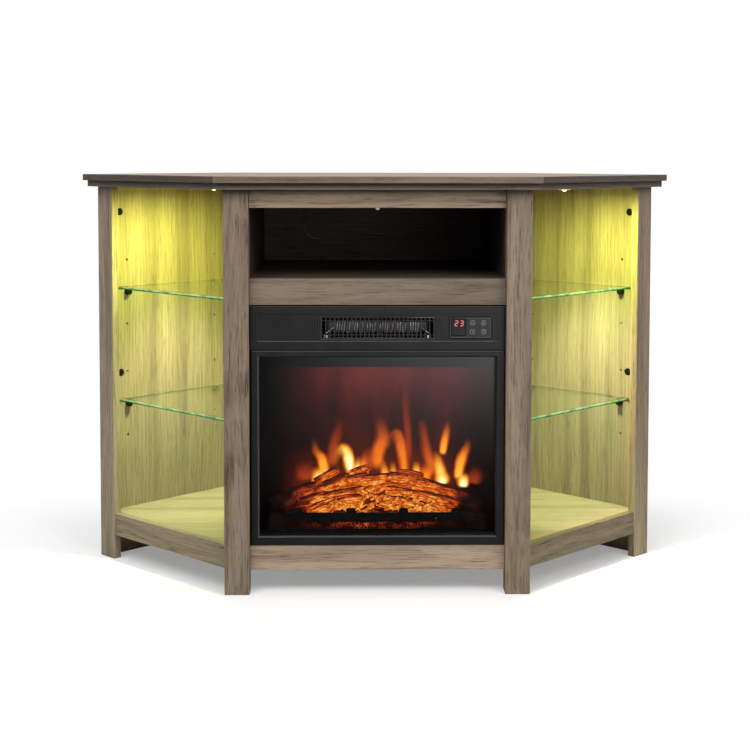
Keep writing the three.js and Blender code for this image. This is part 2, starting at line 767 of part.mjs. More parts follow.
// Control fascia: a shallow moulding with a sunk field, ribs beside the grille, openings for
// the grille and the control plate, and bosses behind for the control board
const fasciaWall = 3;
const fasciaRim = 4;
const fieldSideBorder = 12.5;
const fieldTopBorder = 13;
const fieldLowBorder = 15.5;
const fieldDepth = 1.2;
const grilleTopBorder = 19;
const grilleLowBorder = 19.5;
const grilleToPlate = 28;
const ribCount = 3;
const ribWidth = 1.4;
const ribPitch = 4.6;
const ribFront = 0.3;
const plateWidth = 74.5;
const plateHeight = 37;
const plateSideBorder = 24; // to the fascia's right end
const plateTopBorder = 20.1;
const plateFront = 0.6;
const plateCorner = 2.5;
const plateCornerSteps = 3;
const boardSideMargin = 9.5; // past the control plate
const boardEdgeMargin = 6.5;
const boardFront = 9;
const circuitThickness = 1.6;
const bossSize = 5;

const wider = ([low, high], by) => [low - by, high + by];
const fasciaFace = [-faceHalf, faceHalf];
const plateRight = faceHalf - plateSideBorder;
const plateTop = insertHeight - plateTopBorder;
const plateSpan = [plateRight - plateWidth, plateRight];
const plateHeights = [plateTop - plateHeight, plateTop];
const boardSpan = wider(plateSpan, boardSideMargin);
const boardHeights = wider(plateHeights, boardEdgeMargin);
const grilleHalf = plateSpan[0] - grilleToPlate;
const grilleSpan = [-grilleHalf, grilleHalf];
const grilleHeights = [fasciaLow + grilleLowBorder, insertHeight - grilleTopBorder];
const grilleMiddle = (grilleHeights[0] + grilleHeights[1]) / 2;
const grilleHeight = grilleHeights[1] - grilleHeights[0];
const throughWall = [-overrun, fasciaWall + overrun];
const bossPlaces = [boardSpan[0] + bossSize, boardSpan[1] - bossSize].flatMap(
  (x) => [boardHeights[0] + bossSize / 2, boardHeights[1] - bossSize / 2].map((z) => [x, z]),
);
const bosses = bossPlaces.map(([x, z]) => box(
  around(x, bossSize), [fasciaWall / 2, boardFront - clearance], around(z, bossSize),
));
const ribs = [-1, 1].flatMap((hand) => Array.from({ length: ribCount }, (_, i) => box(
  around(hand * (grilleHalf + ribPitch * (i + 1)), ribWidth),
  [ribFront, fasciaWall - fieldDepth / 2], grilleHeights,
)));
const fasciaShell = cut(
  box(fasciaFace, [0, faceDepth], [fasciaLow, insertHeight]),
  box(wider(fasciaFace, -fasciaRim), [fasciaWall, faceDepth + overrun],
    wider([fasciaLow, insertHeight], -fasciaRim)),
  box(wider(fasciaFace, -fieldSideBorder), [-overrun, fieldDepth],
    [fasciaLow + fieldLowBorder, insertHeight - fieldTopBorder]),
  box(wider(grilleSpan, clearance), throughWall, wider(grilleHeights, clearance)),
  box(wider(plateSpan, clearance), throughWall, wider(plateHeights, clearance)),
);
fit('control_fascia', join(fasciaShell, ...ribs, ...bosses), blackPlastic);

// Heater grille: upright slats crossed by two bars
const slatPitch = 7.8;
const slatWidth = 2.2;
const grilleBorder = 1.6;
const crossBar = 1.2;
const smallCell = 5;
const grilleFront = 1.5;
const grilleThickness = 3;

const grilleDepths = [grilleFront, grilleFront + grilleThickness];
const slotCount = Math.floor((2 * (grilleHalf - grilleBorder) + slatWidth) / slatPitch);
const rowHeights = [
  [grilleHeights[0] + grilleBorder, grilleHeights[0] + grilleBorder + smallCell],
  [grilleHeights[0] + grilleBorder + smallCell + crossBar,
    grilleHeights[1] - grilleBorder - smallCell - crossBar],
  [grilleHeights[1] - grilleBorder - smallCell, grilleHeights[1] - grilleBorder],
];
const slots = Array.from({ length: slotCount }, (_, i) => {
  const middle = (i - (slotCount - 1) / 2) * slatPitch;
  const span = around(middle, slatPitch - slatWidth);
  return rowHeights.map((heights) => box(span, wider(grilleDepths, overrun), heights));
}).flat();
fit('heater_grille', cut(box(grilleSpan, grilleDepths, grilleHeights), ...slots), blackPlastic);

// Heater duct: a channel open to the grille, with end plates down to the divider
const ductMargin = 2; // above and below the grille
const ductSideMargin = 1.5;
const ductBack = 73;
const wheelDepth = 48;
const ductHalf = grilleHalf + ductSideMargin;
const ductFront = grilleFront + grilleThickness + clearance;
const ductHeights = wider(grilleHeights, ductMargin);
const ductFloor = ductHeights[0] + sheetThickness;
const endPlate = (hand) => box(
  hand < 0 ? [-ductHalf, sheetThickness - ductHalf] : [ductHalf - sheetThickness, ductHalf],
  [bodyFront, ductBack], [dividerTop + clearance, ductHeights[1]],
);
const shaftHole = placed(rod(boreRadius, 2 * (ductHalf + overrun), shaftSides),
  [-ductHalf - overrun, wheelDepth, grilleMiddle], xAxis);
fit('heater_duct', cut(join(
  sideward([
    [ductFront, ductHeights[0]], [ductBack, ductHeights[0]],
    [ductBack, ductHeights[1]], [ductFront, ductHeights[1]],
    [ductFront, ductHeights[1] - sheetThickness],
    [ductBack - sheetThickness, ductHeights[1] - sheetThickness],
    [ductBack - sheetThickness, ductFloor], [ductFront, ductFloor],
  ], -ductHalf, ductHalf),
  endPlate(-1), endPlate(1),
), shaftHole), zincSteel);

// Heating card on two legs, with its winding and two ceramic terminals
const windingDepth = 22;
const cardThickness = 2;
const cardInset = 11.5; // inside the grille's ends
const cardLeg = 5;
const windingTopBorder = 8.2; // inside the grille's top and bottom
const windingLap = 3.3; // past the card's edges
const terminalInset = 8.5;
const terminalDepth = 15;
const terminalRadius = 3.5;
const terminalHeight = 6;
const terminalStripDepth = 6;
const terminalStripHeight = 2;
const onDuct = ductFloor + clearance;
const windingHeight = grilleHeight - 2 * windingTopBorder;
const cardHalf = grilleHalf - cardInset;
const cardHeights = around(grilleMiddle, windingHeight - 2 * windingLap);
const terminalAcross = grilleHalf - terminalInset;
fit('heating_card', frontward([
  [-cardHalf, onDuct], [cardLeg - cardHalf, onDuct], [cardLeg - cardHalf, cardHeights[0]],
  [cardHalf - cardLeg, cardHeights[0]], [cardHalf - cardLeg, onDuct], [cardHalf, onDuct],
  [cardHalf, cardHeights[1]], [-cardHalf, cardHeights[1]],
], ...around(windingDepth, cardThickness)), mica);

const terminalTop = onDuct + terminalHeight;
const terminals = [-1, 1].map((hand) => rod(terminalRadius, terminalHeight, roundSides)
  .translate(hand * terminalAcross, terminalDepth, onDuct));
fit('heating_terminals', join(
  box([-terminalAcross, terminalAcross], around(terminalDepth, terminalStripDepth),
    [onDuct, onDuct + terminalStripHeight]),
  ...terminals,
), ceramic);

// Heating wire: one unbroken tube, wound round the card in flat curls
const wireRadius = 0.6;
const wireSides = 5;
const curlPitch = 4.6;
const curlSteps = 8;
const windingInset = 24; // inside the grille's ends
const windingThickness = 8.4;
const curlCount = Math.floor((2 * (grilleHalf - windingInset)) / curlPitch);
const windingLength = curlCount * curlPitch;

const curls = Array.from({ length: curlCount * curlSteps + 1 }, (_, i) => {
  const angle = (2 * Math.PI * i) / curlSteps;
  return new THREE.Vector3(
    windingLength * (i / (curlCount * curlSteps) - 1 / 2),
    windingDepth - (windingThickness / 2) * Math.cos(angle),
    grilleMiddle + (windingHeight / 2) * Math.sin(angle),
  );
});
const leadStart = terminalTop + clearance;
function lead(hand) {
  const rise = leadStart + 4 * wireRadius;
  return [
    new THREE.Vector3(hand * terminalAcross, terminalDepth, leadStart),
    new THREE.Vector3(hand * terminalAcross, terminalDepth, rise),
    new THREE.Vector3((hand * (terminalAcross + windingLength / 2)) / 2,
      (terminalDepth + windingDepth - windingThickness / 2) / 2, (rise + grilleMiddle) / 2),
  ];
}
const wirePath = [...lead(-1), ...curls, ...lead(1).reverse()];

function tubeAlong(path, radius, sides) {
  const corners = [];
  const faces = [];
  const normal = new THREE.Vector3(0, 1, 0);
  path.forEach((point, i) => {
    const before = path[Math.max(i - 1, 0)];
    const after = path[Math.min(i + 1, path.length - 1)];
    const tangent = after.clone().sub(before).normalize();
    normal.addScaledVector(tangent, -normal.dot(tangent)).normalize();
    const across = tangent.clone().cross(normal);
    for (let k = 0; k < sides; k += 1) {
      const angle = (2 * Math.PI * k) / sides;
      const corner = point.clone().addScaledVector(normal, radius * Math.cos(angle))
        .addScaledVector(across, radius * Math.sin(angle));
      corners.push(...corner.toArray());
      const next = (k + 1) % sides;
      if (i > 0) {
        const [here, last] = [i * sides, (i - 1) * sides];
        faces.push(last + k, last + next, here + next, last + k, here + next, here + k);
      }
    }
  });
  const end = (path.length - 1) * sides;
  for (let k = 1; k < sides - 1; k += 1) {
    faces.push(0, k + 1, k, end, end + k, end + k + 1);
  }
  const geometry = new THREE.BufferGeometry();
  geometry.setAttribute('position', new THREE.Float32BufferAttribute(corners, 3));
  geometry.setIndex(faces);
  return geometry;
}

function leastGap(path, radius, apart) {
  let least = Infinity;
  path.forEach((point, i) => {
    for (let j = i + apart; j < path.length; j += 1) {
      least = Math.min(least, point.distanceTo(path[j]) - 2 * radius);
    }
  });
  return least;
}

console.log(`heating wire: least gap ${leastGap(wirePath, wireRadius, 3).toFixed(2)} mm`);
fit('heating_wire', tubeAlong(wirePath, wireRadius, wireSides), wireAlloy);

// Blower wheel across the duct, on a stub in the left end plate and one in the motor
const wheelGap = 3.8; // to the duct's floor and roof
const wheelInset = 10.5; // inside the grille's ends
const wheelDisc = 2;
const wheelSides = 16;
const bladeCount = 16;
const bladeDepth = 4.5;
const bladeThickness = 1.1;
const bladeLean = Math.PI / 7;
const motorRadius = 15;
const motorLength = 34;
const wheelRadius = (ductHeights[1] - ductHeights[0]) / 2 - sheetThickness - wheelGap;
const wheelHalf = grilleHalf - wheelInset;

const blades = Array.from({ length: bladeCount }, (_, i) => box(
  wider([-wheelHalf, wheelHalf], -wheelDisc / 2), around(0, bladeThickness), around(0, bladeDepth),
).applyMatrix4(new THREE.Matrix4().makeRotationX(bladeLean))
  .translate(0, 0, wheelRadius - bladeDepth / 2 - bladeThickness)
  .applyMatrix4(new THREE.Matrix4().makeRotationX((2 * Math.PI * i) / bladeCount)));
const motorFace = ductHalf + clearance;
const stubEnd = motorFace + motorBoreDepth - clearance;
const wheelRod = (radius, start, end, sides) => placed(rod(radius, end - start, sides),
  [start, 0, 0], xAxis);
fit('blower_wheel', join(
  wheelRod(wheelRadius, -wheelHalf, wheelDisc - wheelHalf, wheelSides),
  wheelRod(wheelRadius, wheelHalf - wheelDisc, wheelHalf, wheelSides),
  wheelRod(shaftRadius, -ductHalf - overrun, wheelDisc / 2 - wheelHalf, shaftSides),
  wheelRod(shaftRadius, wheelHalf - wheelDisc / 2, stubEnd, shaftSides),
  ...blades,
).translate(0, wheelDepth, grilleMiddle), blackSteel);
const motorPlace = [motorFace, wheelDepth, grilleMiddle];
fit('blower_motor', cut(
  placed(rod(motorRadius, motorLength, roundSides), motorPlace, xAxis),
  placed(rod(boreRadius, motorBoreDepth + overrun, shaftSides).translate(0, 0, -overrun),
    motorPlace, xAxis),
), zincSteel);

// Control plate with the display window and four buttons, and the board behind
const buttonRadius = 4.75;
const buttonSides = 12;
const buttonTravel = 0.8;
const buttonFront = 0.2;
const buttonChamfer = 0.5;
const flangeRadius = 6;
const flangeThickness = 1;
const stemRadius = 2;
const buttonLength = 6.8;
const buttonColumnInsets = [33.6, 13.7]; // from the control plate's right end
const buttonRowDrops = [9.5, 25.6]; // from its top
const displaySideBorder = 2.5;
const displayLowBorder = 3.6;
const displayTopBorder = 1.9;
const displayToButton = 11.9; // to the first buttons' middles
const displayFront = 0.9;
const switchSize = 6;

const plateBack = fasciaWall;
const buttonColumns = buttonColumnInsets.map((inset) => plateRight - inset);
const buttonRows = buttonRowDrops.map((drop) => plateTop - drop);
const displaySpan = [plateSpan[0] + displaySideBorder, buttonColumns[0] - displayToButton];
const displayHeights = [plateHeights[0] + displayLowBorder, plateTop - displayTopBorder];
const buttonPlaces = {
  power_button: [buttonColumns[0], buttonRows[0]],
  timer_button: [buttonColumns[1], buttonRows[0]],
  flame_button: [buttonColumns[0], buttonRows[1]],
  heat_button: [buttonColumns[1], buttonRows[1]],
};
const buttonHoles = Object.values(buttonPlaces).map(([x, z]) => placed(
  rod(buttonRadius + clearance, plateBack + overrun, buttonSides), [x, 0, z], yAxis,
));
const displayWindow = box(wider(displaySpan, clearance), throughWall,
  wider(displayHeights, clearance));
fit('control_plate', cut(frontward(
  roundedRectangle(plateSpan, plateHeights, plateCorner, plateCornerSteps),
  plateFront, plateBack,
), ...buttonHoles, displayWindow), blackGloss);
fit('display_module', box(displaySpan, [displayFront, boardFront - clearance], displayHeights),
  blackGloss);

const switchFront = buttonFront + buttonLength + buttonTravel + clearance;
const switches = Object.values(buttonPlaces).map(([x, z]) => box(
  around(x, switchSize), [switchFront, boardFront + circuitThickness / 2], around(z, switchSize),
));
fit('control_board', join(
  box(boardSpan, [boardFront, boardFront + circuitThickness], boardHeights), ...switches,
), circuitGreen);

const flangeStart = plateBack - buttonFront + clearance;
for (const [name, [x, z]] of Object.entries(buttonPlaces)) {
  fit(name, placed(turned([
    [0, 0], [buttonRadius - buttonChamfer, 0], [buttonRadius, buttonChamfer],
    [buttonRadius, flangeStart], [flangeRadius, flangeStart],
    [flangeRadius, flangeStart + flangeThickness], [stemRadius, flangeStart + flangeThickness],
    [stemRadius, buttonLength], [0, buttonLength],
  ], buttonSides), [x, buttonFront, z], yAxis), blackPlastic);
}

export default stand;
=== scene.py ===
import math
import random

import bmesh
import bpy
from mathutils import Matrix, Vector, noise


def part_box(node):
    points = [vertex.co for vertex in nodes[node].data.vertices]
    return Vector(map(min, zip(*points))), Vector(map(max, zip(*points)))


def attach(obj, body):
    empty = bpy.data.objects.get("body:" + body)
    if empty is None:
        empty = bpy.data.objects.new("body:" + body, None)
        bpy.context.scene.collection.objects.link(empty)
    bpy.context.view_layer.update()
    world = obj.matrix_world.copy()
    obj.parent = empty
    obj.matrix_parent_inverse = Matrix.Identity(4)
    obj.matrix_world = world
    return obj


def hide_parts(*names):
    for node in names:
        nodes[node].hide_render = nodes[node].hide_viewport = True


# Fireplace TV stand: an oak corner stand with lit glass shelves and an electric fireplace insert.
# All in metres, in the frame's own place. Sizes are read from the frame's boxes.
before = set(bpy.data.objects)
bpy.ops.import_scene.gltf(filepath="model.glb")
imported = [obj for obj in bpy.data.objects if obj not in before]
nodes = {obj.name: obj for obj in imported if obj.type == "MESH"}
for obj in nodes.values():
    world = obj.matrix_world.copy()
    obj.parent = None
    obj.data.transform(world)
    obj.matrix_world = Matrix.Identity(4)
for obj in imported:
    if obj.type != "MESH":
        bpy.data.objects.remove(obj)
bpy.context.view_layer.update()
scene = bpy.context.scene
mm = 0.001
hands = {"left": -1, "right": 1}
print("frame loaded:", len(nodes), "nodes")


# Places on the frame
def lowOf(node):
    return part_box(node)[0]


def highOf(node):
    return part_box(node)[1]


def middleOf(node):
    return (lowOf(node) + highOf(node)) / 2


def reachOf(node, direction):
    way = Vector(direction).normalized()
    return max(way.dot(v.co) for v in nodes[node].data.vertices)


insertFoot = lowOf("window_frame")  # its face and its lowest edge


def onInsert(x, y, z):
    return Vector((x * mm, insertFoot.y + y * mm, insertFoot.z + z * mm))


# The open ends lie at 45 degrees: outward is across them, along runs from front to back
endReach = reachOf("right_outer_post", (1, -1, 0))
backReach = reachOf("right_outer_post", (1, 1, 0))
board = 15 * mm


def onWing(hand, fromBack, behindEnd, z):
    along, across = backReach - fromBack, endReach - behindEnd
    half = math.sqrt(0.5)
    return Vector((hand * (along + across) * half, (along - across) * half, z))


# Mesh helpers
def linkPiece(name, data):
    piece = bpy.data.objects.new(name, data)
    scene.collection.objects.link(piece)
    return piece


def pieceFrom(name, mesher, smooth=True, materials=(), outward=False):
    if outward:
        bmesh.ops.recalc_face_normals(mesher, faces=mesher.faces)
    mesh = bpy.data.meshes.new(name)
    mesher.to_mesh(mesh)
    mesher.free()
    mesh.polygons.foreach_set("use_smooth", [smooth] * len(mesh.polygons))
    for material in materials:
        mesh.materials.append(material)
    return linkPiece(name, mesh)


def mergedCopy(node):
    mesher = bmesh.new()
    mesher.from_mesh(nodes[node].data)
    bmesh.ops.remove_doubles(mesher, verts=mesher.verts, dist=1e-6)
    bmesh.ops.dissolve_limit(mesher, angle_limit=math.radians(1), verts=mesher.verts,
                             edges=mesher.edges)
    return mesher


def joinRows(mesher, rows, around=True, closed=False, materialIndex=0):
    # faces from each row of vertices to the next; a row of one vertex is a pole
    faces = []
    for here, there in zip(rows, rows[1:] + (rows[:1] if closed else [])):
        sides = max(len(here), len(there))
        for i in range(sides if around else sides - 1):
            j = (i + 1) % sides
            corners = [here[i % len(here)], here[j % len(here)], there[j % len(there)],
                       there[i % len(there)]]
            unique = list(dict.fromkeys(corners))
            if len(unique) > 2:
                faces.append(mesher.faces.new(unique))
                faces[-1].material_index = materialIndex
    return faces


def mapFaces(faces, columns, mapping, uvOf):
    # uvOf gives the place on the map of a row and a column
    for index, face in enumerate(faces):
        i, k = divmod(index, columns)
        for loop, spot in zip(face.loops, ((i, k), (i, k + 1), (i + 1, k + 1), (i + 1, k))):
            loop[mapping].uv = uvOf(*spot)


def latheInto(mesher, profile, sides, matrix=Matrix.Identity(4), materialIndex=0):
    # profile: (radius, height) pairs from the lower end on the axis to the upper one
    angles = [2 * math.pi * i / sides for i in range(sides)]
    rings = [[Vector((radius * math.cos(a), radius * math.sin(a), height))
              for a in (angles if radius > 1e-7 else angles[:1])] for radius, height in profile]
    rings = [[mesher.verts.new(matrix @ point) for point in ring] for ring in rings]
    joinRows(mesher, rings, materialIndex=materialIndex)


def extrudeInto(mesher, outline, front, back):
    # outline: (x, z) pairs seen from the front, anticlockwise
    ends = [[mesher.verts.new((x, y, z)) for x, z in outline] for y in (front, back)]
    mesher.faces.new(ends[0])
    mesher.faces.new(list(reversed(ends[1])))
    for i in range(len(outline)):
        j = (i + 1) % len(outline)
        mesher.faces.new([ends[0][j], ends[0][i], ends[1][i], ends[1][j]])


def settle(piece, slot, *replaced, on="cabinet"):
    # rides on its body and stands for the nodes it replaces
    if replaced:
        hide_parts(*replaced)
    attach(piece, on)


# Node helpers. They add to the tree on the desk. A Flow is a value in it, and a sum of flows adds
# the nodes that work it out.
desk = {}


class Flow:
    def __init__(self, socket):
        self.socket = socket

    def work(self, operation, *values):
        if self.socket.type in ("VECTOR", "RGBA"):
            return vectorCalc(operation, *values)
        return calc(operation, *values)

    def __add__(self, other):
        return self.work("ADD", self, other)

    def __radd__(self, other):
        return self.work("ADD", other, self)

    def __sub__(self, other):
        return self.work("SUBTRACT", self, other)

    def __rsub__(self, other):
        return self.work("SUBTRACT", other, self)

    def __mul__(self, other):
        return self.work("MULTIPLY", self, other)

    def __truediv__(self, other):
        return self.work("DIVIDE", self, other)

    def __pow__(self, other):
        return self.work("POWER", self, other)

    def __abs__(self):
        return self.work("ABSOLUTE", self)

    def part(self, axis):
        return make("ShaderNodeSeparateXYZ", {0: self}, axis)


def make(kind, inputs=None, output=None, **settings):
    # adds a node and gives back the output that is named, or the first in use
    tree = desk["tree"]
    node = tree.nodes.new(kind)
    for key, value in settings.items():
        setattr(node, key, value)
    for key, value in (inputs or {}).items():
        if isinstance(value, Flow):
            tree.links.new(value.socket, node.inputs[key])
        else:
            node.inputs[key].default_value = value
    inUse = [socket for socket in node.outputs if socket.enabled]
    return Flow(node.outputs[output] if output else inUse[0]) if inUse else None


def calc(operation, *values, clamp=False):
    return make("ShaderNodeMath", dict(enumerate(values)), operation=operation, use_clamp=clamp)


def vectorCalc(operation, *values):
    return make("ShaderNodeVectorMath", dict(enumerate(values)), operation=operation)


def clampedProduct(first, second):
    return calc("MULTIPLY", first, second, clamp=True)


def blend(share, first, second, mode="MIX"):
    return make("ShaderNodeMix", {0: share, 6: first, 7: second}, data_type="RGBA", blend_type=mode)


def ease(value, start, end, low=0.0, high=1.0, kind="SMOOTHSTEP"):
    return make("ShaderNodeMapRange", {"Value": value, "From Min": start, "From Max": end,
                                       "To Min": low, "To Max": high}, interpolation_type=kind)


def noiseOf(vector, scale, detail=2.0, roughness=0.5, distortion=0.0, output=None):
    if isinstance(scale, tuple):
        vector, scale = vector * scale, 1.0
    return make("ShaderNodeTexNoise", {"Vector": vector, "Scale": scale, "Detail": detail,
                                       "Roughness": roughness, "Distortion": distortion}, output)


def edgesOfCells(vector, scale):
    return make("ShaderNodeTexVoronoi", {"Vector": vector, "Scale": scale}, feature="DISTANCE_TO_EDGE")


def rampOf(value, stops):
    ramp = make("ShaderNodeValToRGB", {"Fac": value})
    elements = ramp.socket.node.color_ramp.elements
    while len(elements) < len(stops):
        elements.new(0.5)
    for element, (position, color) in zip(elements, stops):
        element.position = position
        element.color = (*color, 1)
    return ramp


def openTree(name, kind, inputs):
    # inputs: the usual value of each, or its kind where it has none
    tree = bpy.data.node_groups.new(name, kind)
    desk["tree"] = tree
    kinds = {float: "Float", int: "Int", tuple: "Vector"}
    for label, value in inputs.items():
        socketKind = kinds.get(type(value), value)
        socket = tree.interface.new_socket(name=label, in_out="INPUT",
                                           socket_type="NodeSocket" + socketKind)
        if type(value) in kinds:
            socket.default_value = value
    return {s.name: Flow(s) for s in tree.nodes.new("NodeGroupInput").outputs}


def closeTree(results):
    # an output named Color or Geometry is of that kind, any other is a number
    for label in results:
        kind = label if label in ("Color", "Geometry") else "Float"
        desk["tree"].interface.new_socket(name=label, in_out="OUTPUT", socket_type="NodeSocket" + kind)
    make("NodeGroupOutput", results)
    return desk["tree"]


def useGroup(group, inputs):
    first = make("ShaderNodeGroup", inputs, node_tree=group)
    return {socket.name: Flow(socket) for socket in first.socket.node.outputs}


def newFinish(name):
    material = bpy.data.materials.new(name)
    material.use_nodes = True
    desk["tree"] = material.node_tree
    desk["tree"].nodes.clear()
    return material, make("ShaderNodeTexCoord", output="Object")


def surface(shader):
    make("ShaderNodeOutputMaterial", {"Surface": shader})


def closeFinish(material, color, rough, specular=0.5, bump=None, glow=None, metallic=0.0, alpha=1.0):
    # bump: a height, its depth and its strength; glow: a colour and its strength
    inputs = {"Base Color": color, "Roughness": rough, "Specular IOR Level": specular,
              "Metallic": metallic, "Alpha": alpha}
    if bump:
        inputs["Normal"] = make("ShaderNodeBump", dict(zip(("Height", "Distance", "Strength"), bump)))
    if glow:
        inputs.update(zip(("Emission Color", "Emission Strength"), glow))
    surface(make("ShaderNodeBsdfPrincipled", inputs))
    return material


def emit(color, strength):
    return make("ShaderNodeEmission", {"Color": color, "Strength": strength})


def grey(value):
    return (value, value, value, 1)


def facing():
    return make("ShaderNodeNewGeometry", output="Normal")


def rayKind(name):
    return make("ShaderNodeLightPath", output=f"Is {name} Ray")


def lookedAt():
    # 1 where the camera, a reflection or a look through the glass meets the surface
    return calc("MAXIMUM", calc("MAXIMUM", rayKind("Camera"), rayKind("Glossy")),
                rayKind("Transmission"))


def tone(red, green, blue, gain=1.0):
    # a colour as seen on screen, 0 to 255, as the linear value the shader takes
    def linear(v):
        v = v / 255
        return gain * (v / 12.92 if v <= 0.04045 else ((v + 0.055) / 1.055) ** 2.4)
    return (linear(red), linear(green), linear(blue), 1)


# Oak: warm and grey patches, growth rings, fine streaks, pores and a few knots; the grain runs on Z
def makeOakFigure():
    given = openTree("oakFigure", "ShaderNodeTree", {
        "Vector": "Vector", "Pith": (0.01, 0.03, 0.1), "Pale": "Color", "Mid": "Color",
        "Dark": "Color", "Contrast": 1.0, "Ring Pitch": 0.0075})
    place = given["Vector"]
    wander = noiseOf(place, (6, 6, 1.8), 2, output="Color") - (0.5, 0.5, 0.5)
    grain = place + wander * (0.03, 0.03, 0)
    reach = vectorCalc("LENGTH", (grain - given["Pith"]) * (1, 1, 0.09))
    phase = reach / given["Ring Pitch"] + noiseOf(grain, (40, 40, 4), 3) * 1.6
    ring = ease(calc("FRACT", phase), 0.35, 0.95)
    patch = noiseOf(grain, (14, 14, 1.7), 3)
    broad = noiseOf(grain, (34, 34, 1.6), 2)
    streak = noiseOf(grain, (150, 150, 4.5), 3, 0.6)
    fibre = noiseOf(grain, (330, 330, 11), 3, 0.65)
    pores = ease(noiseOf(grain, (620, 620, 30), 2), 0.55, 0.68)
    knots = make("ShaderNodeTexVoronoi", {"Vector": place * (4.6, 4.6, 2.0), "Scale": 1.0})
    knot = ease(knots + noiseOf(grain, (60, 60, 9), 3) * 0.16, 0.2, 0.1)
    color = blend(ease(streak * 0.45 + broad * 0.55, 0.36, 0.62), given["Mid"], given["Pale"])
    color = blend(ease(patch, 0.38, 0.62, 0.0, 0.55), color, (0.9, 1.0, 1.08, 1), "MULTIPLY")
    shade = (ring * 0.2 + ease(streak, 0.52, 0.7, 0, 0.3) + ease(fibre, 0.52, 0.7, 0, 0.5)
             + ease(broad, 0.46, 0.3, 0, 0.25) + pores * 0.42 + knot * 0.45)
    color = blend(clampedProduct(shade, given["Contrast"]), color, given["Dark"])
    return closeTree({"Color": color, "Roughness": 0.46 + fibre * 0.16 + pores * 0.12,
                      "Height": fibre * 0.5 - pores - ring * 0.25})


def scaledColor(color, gain):
    return make("ShaderNodeVectorMath", {0: color, "Scale": gain}, operation="SCALE")


# Fine moulded or sprayed skin: faint clouds, and a leathery micrograin that is darker in its hollows and
# lighter on its peaks
def makeSkinGrain():
    given = openTree("skinGrain", "ShaderNodeTree", {
        "Vector": "Vector", "Color": "Color", "Roughness": 0.5, "Grain": 2400.0, "Clouds": 0.18})
    cloud = noiseOf(given["Vector"], 26, 3)
    grain = noiseOf(given["Vector"], given["Grain"], 2)
    gain = 1 + (cloud - 0.5) * (given["Clouds"] * 4)
    gain = gain * ease(grain, 0.3, 0.7, 0.86, 1.14)
    return closeTree({"Color": scaledColor(given["Color"], gain),
                      "Roughness": given["Roughness"] + (cloud - 0.5) * 0.25, "Height": grain})


# Drawn or rolled metal: fine lines along one axis, and faint stains
def makeRolledMetal():
    given = openTree("rolledMetal", "ShaderNodeTree", {
        "Vector": "Vector", "Color": "Color", "Roughness": 0.35, "Stretch": (15, 900, 900)})
    lines = noiseOf(given["Vector"] * given["Stretch"], 1.0, 2)
    stain = noiseOf(given["Vector"], 38, 4)
    gain = ease(lines, 0.3, 0.7, 0.82, 1.08) + ease(stain, 0.35, 0.7, 0, -0.22)
    return closeTree({"Color": scaledColor(given["Color"], gain),
                      "Roughness": given["Roughness"] + ease(stain, 0.35, 0.7, -0.06, 0.16),
                      "Height": lines})


# Heat of the fire picture by place: hot at the middle of the pile, dying to the ends and down
def makeFireHeat():
    given = openTree("fireHeat", "ShaderNodeTree", {
        "Vector": "Vector", "Middle": (0, 0, 0.17), "Half Width": 0.19, "Half Height": 0.08})
    away = given["Vector"] - given["Middle"]
    patch = noiseOf(given["Vector"], (45, 45, 55), 3)
    across = abs(away.part("X")) / given["Half Width"]
    rise = abs(away.part("Z")) / given["Half Height"]
    far = calc("SQRT", across ** 2.0 + rise ** 2.0) + (patch - 0.5) * 0.5
    return closeTree({"Heat": ease(far, 1.0, 0.5), "Patch": patch})


oakFigure = makeOakFigure()
skinGrain = makeSkinGrain()
rolledMetal = makeRolledMetal()
fireHeat = makeFireHeat()

# Camera, solved from the photograph's corners
viewing = {"place": (-0.0485, -2.8555, 0.7945), "yaw": -0.0165, "pitch": 0.0578, "roll": -0.0013,
           "lens": 70.46, "shift": -0.18}
lens = bpy.data.cameras.new("photoView")
lens.sensor_width = 36
lens.lens = viewing["lens"]
lens.shift_y = viewing["shift"]
lens.clip_start = 0.05
lens.clip_end = 200
viewer = linkPiece("photoView", lens)
viewer.matrix_world = (Matrix.Translation(viewing["place"]) @ Matrix.Rotation(viewing["yaw"], 4, "Z")
                       @ Matrix.Rotation(math.pi / 2 - viewing["pitch"], 4, "X")
                       @ Matrix.Rotation(-viewing["roll"], 4, "Z"))
scene.camera = viewer
scene.view_settings.view_transform = "Standard"
print("camera placed")

# Studio: white room, soft lamps, a pale floor that keeps the shadow
studio = {"ambient": 0.14, "floorTone": 0.64, "floorGlow": 0.29, "floorClear": (0.4, 0.72)}
studioLamps = {"key": ((-1.6, -3.0, 3.9), 2.4, 120), "fill": ((2.2, -3.0, 3.4), 2.2, 84),
               "top": ((0, -0.2, 3.6), 3.0, 70), "rear": ((0.8, 3.6, 2.2), 2.4, 45)}


def addLamp(name, kind, place, watts, color=(1, 1, 1), aim=None, glossy=False, **settings):
    light = bpy.data.lights.new(name, kind)
    light.energy = watts
    light.color = color
    for key, value in settings.items():
        setattr(light, key, value)
    lamp = linkPiece(name, light)
    lamp.location = place
    if aim:
        lamp.rotation_euler = (Vector(aim) - Vector(place)).to_track_quat("-Z", "Y").to_euler()
    lamp.visible_camera = False
    lamp.visible_transmission = False
    lamp.visible_glossy = glossy


for lampName, (spot, size, watts) in studioLamps.items():
    addLamp(lampName + "Lamp", "AREA", spot, watts, aim=(0, 0, 0.35), glossy=lampName != "rear",
            shape="SQUARE", size=size)

world = bpy.data.worlds.new("whiteRoom")
scene.world = world
world.use_nodes = True
desk["tree"] = world.node_tree
desk["tree"].nodes.clear()
airGlow = studio["ambient"] + lookedAt() * (1 - studio["ambient"])
air = make("ShaderNodeBackground", {"Color": grey(1), "Strength": airGlow})
make("ShaderNodeOutputWorld", {"Surface": air})


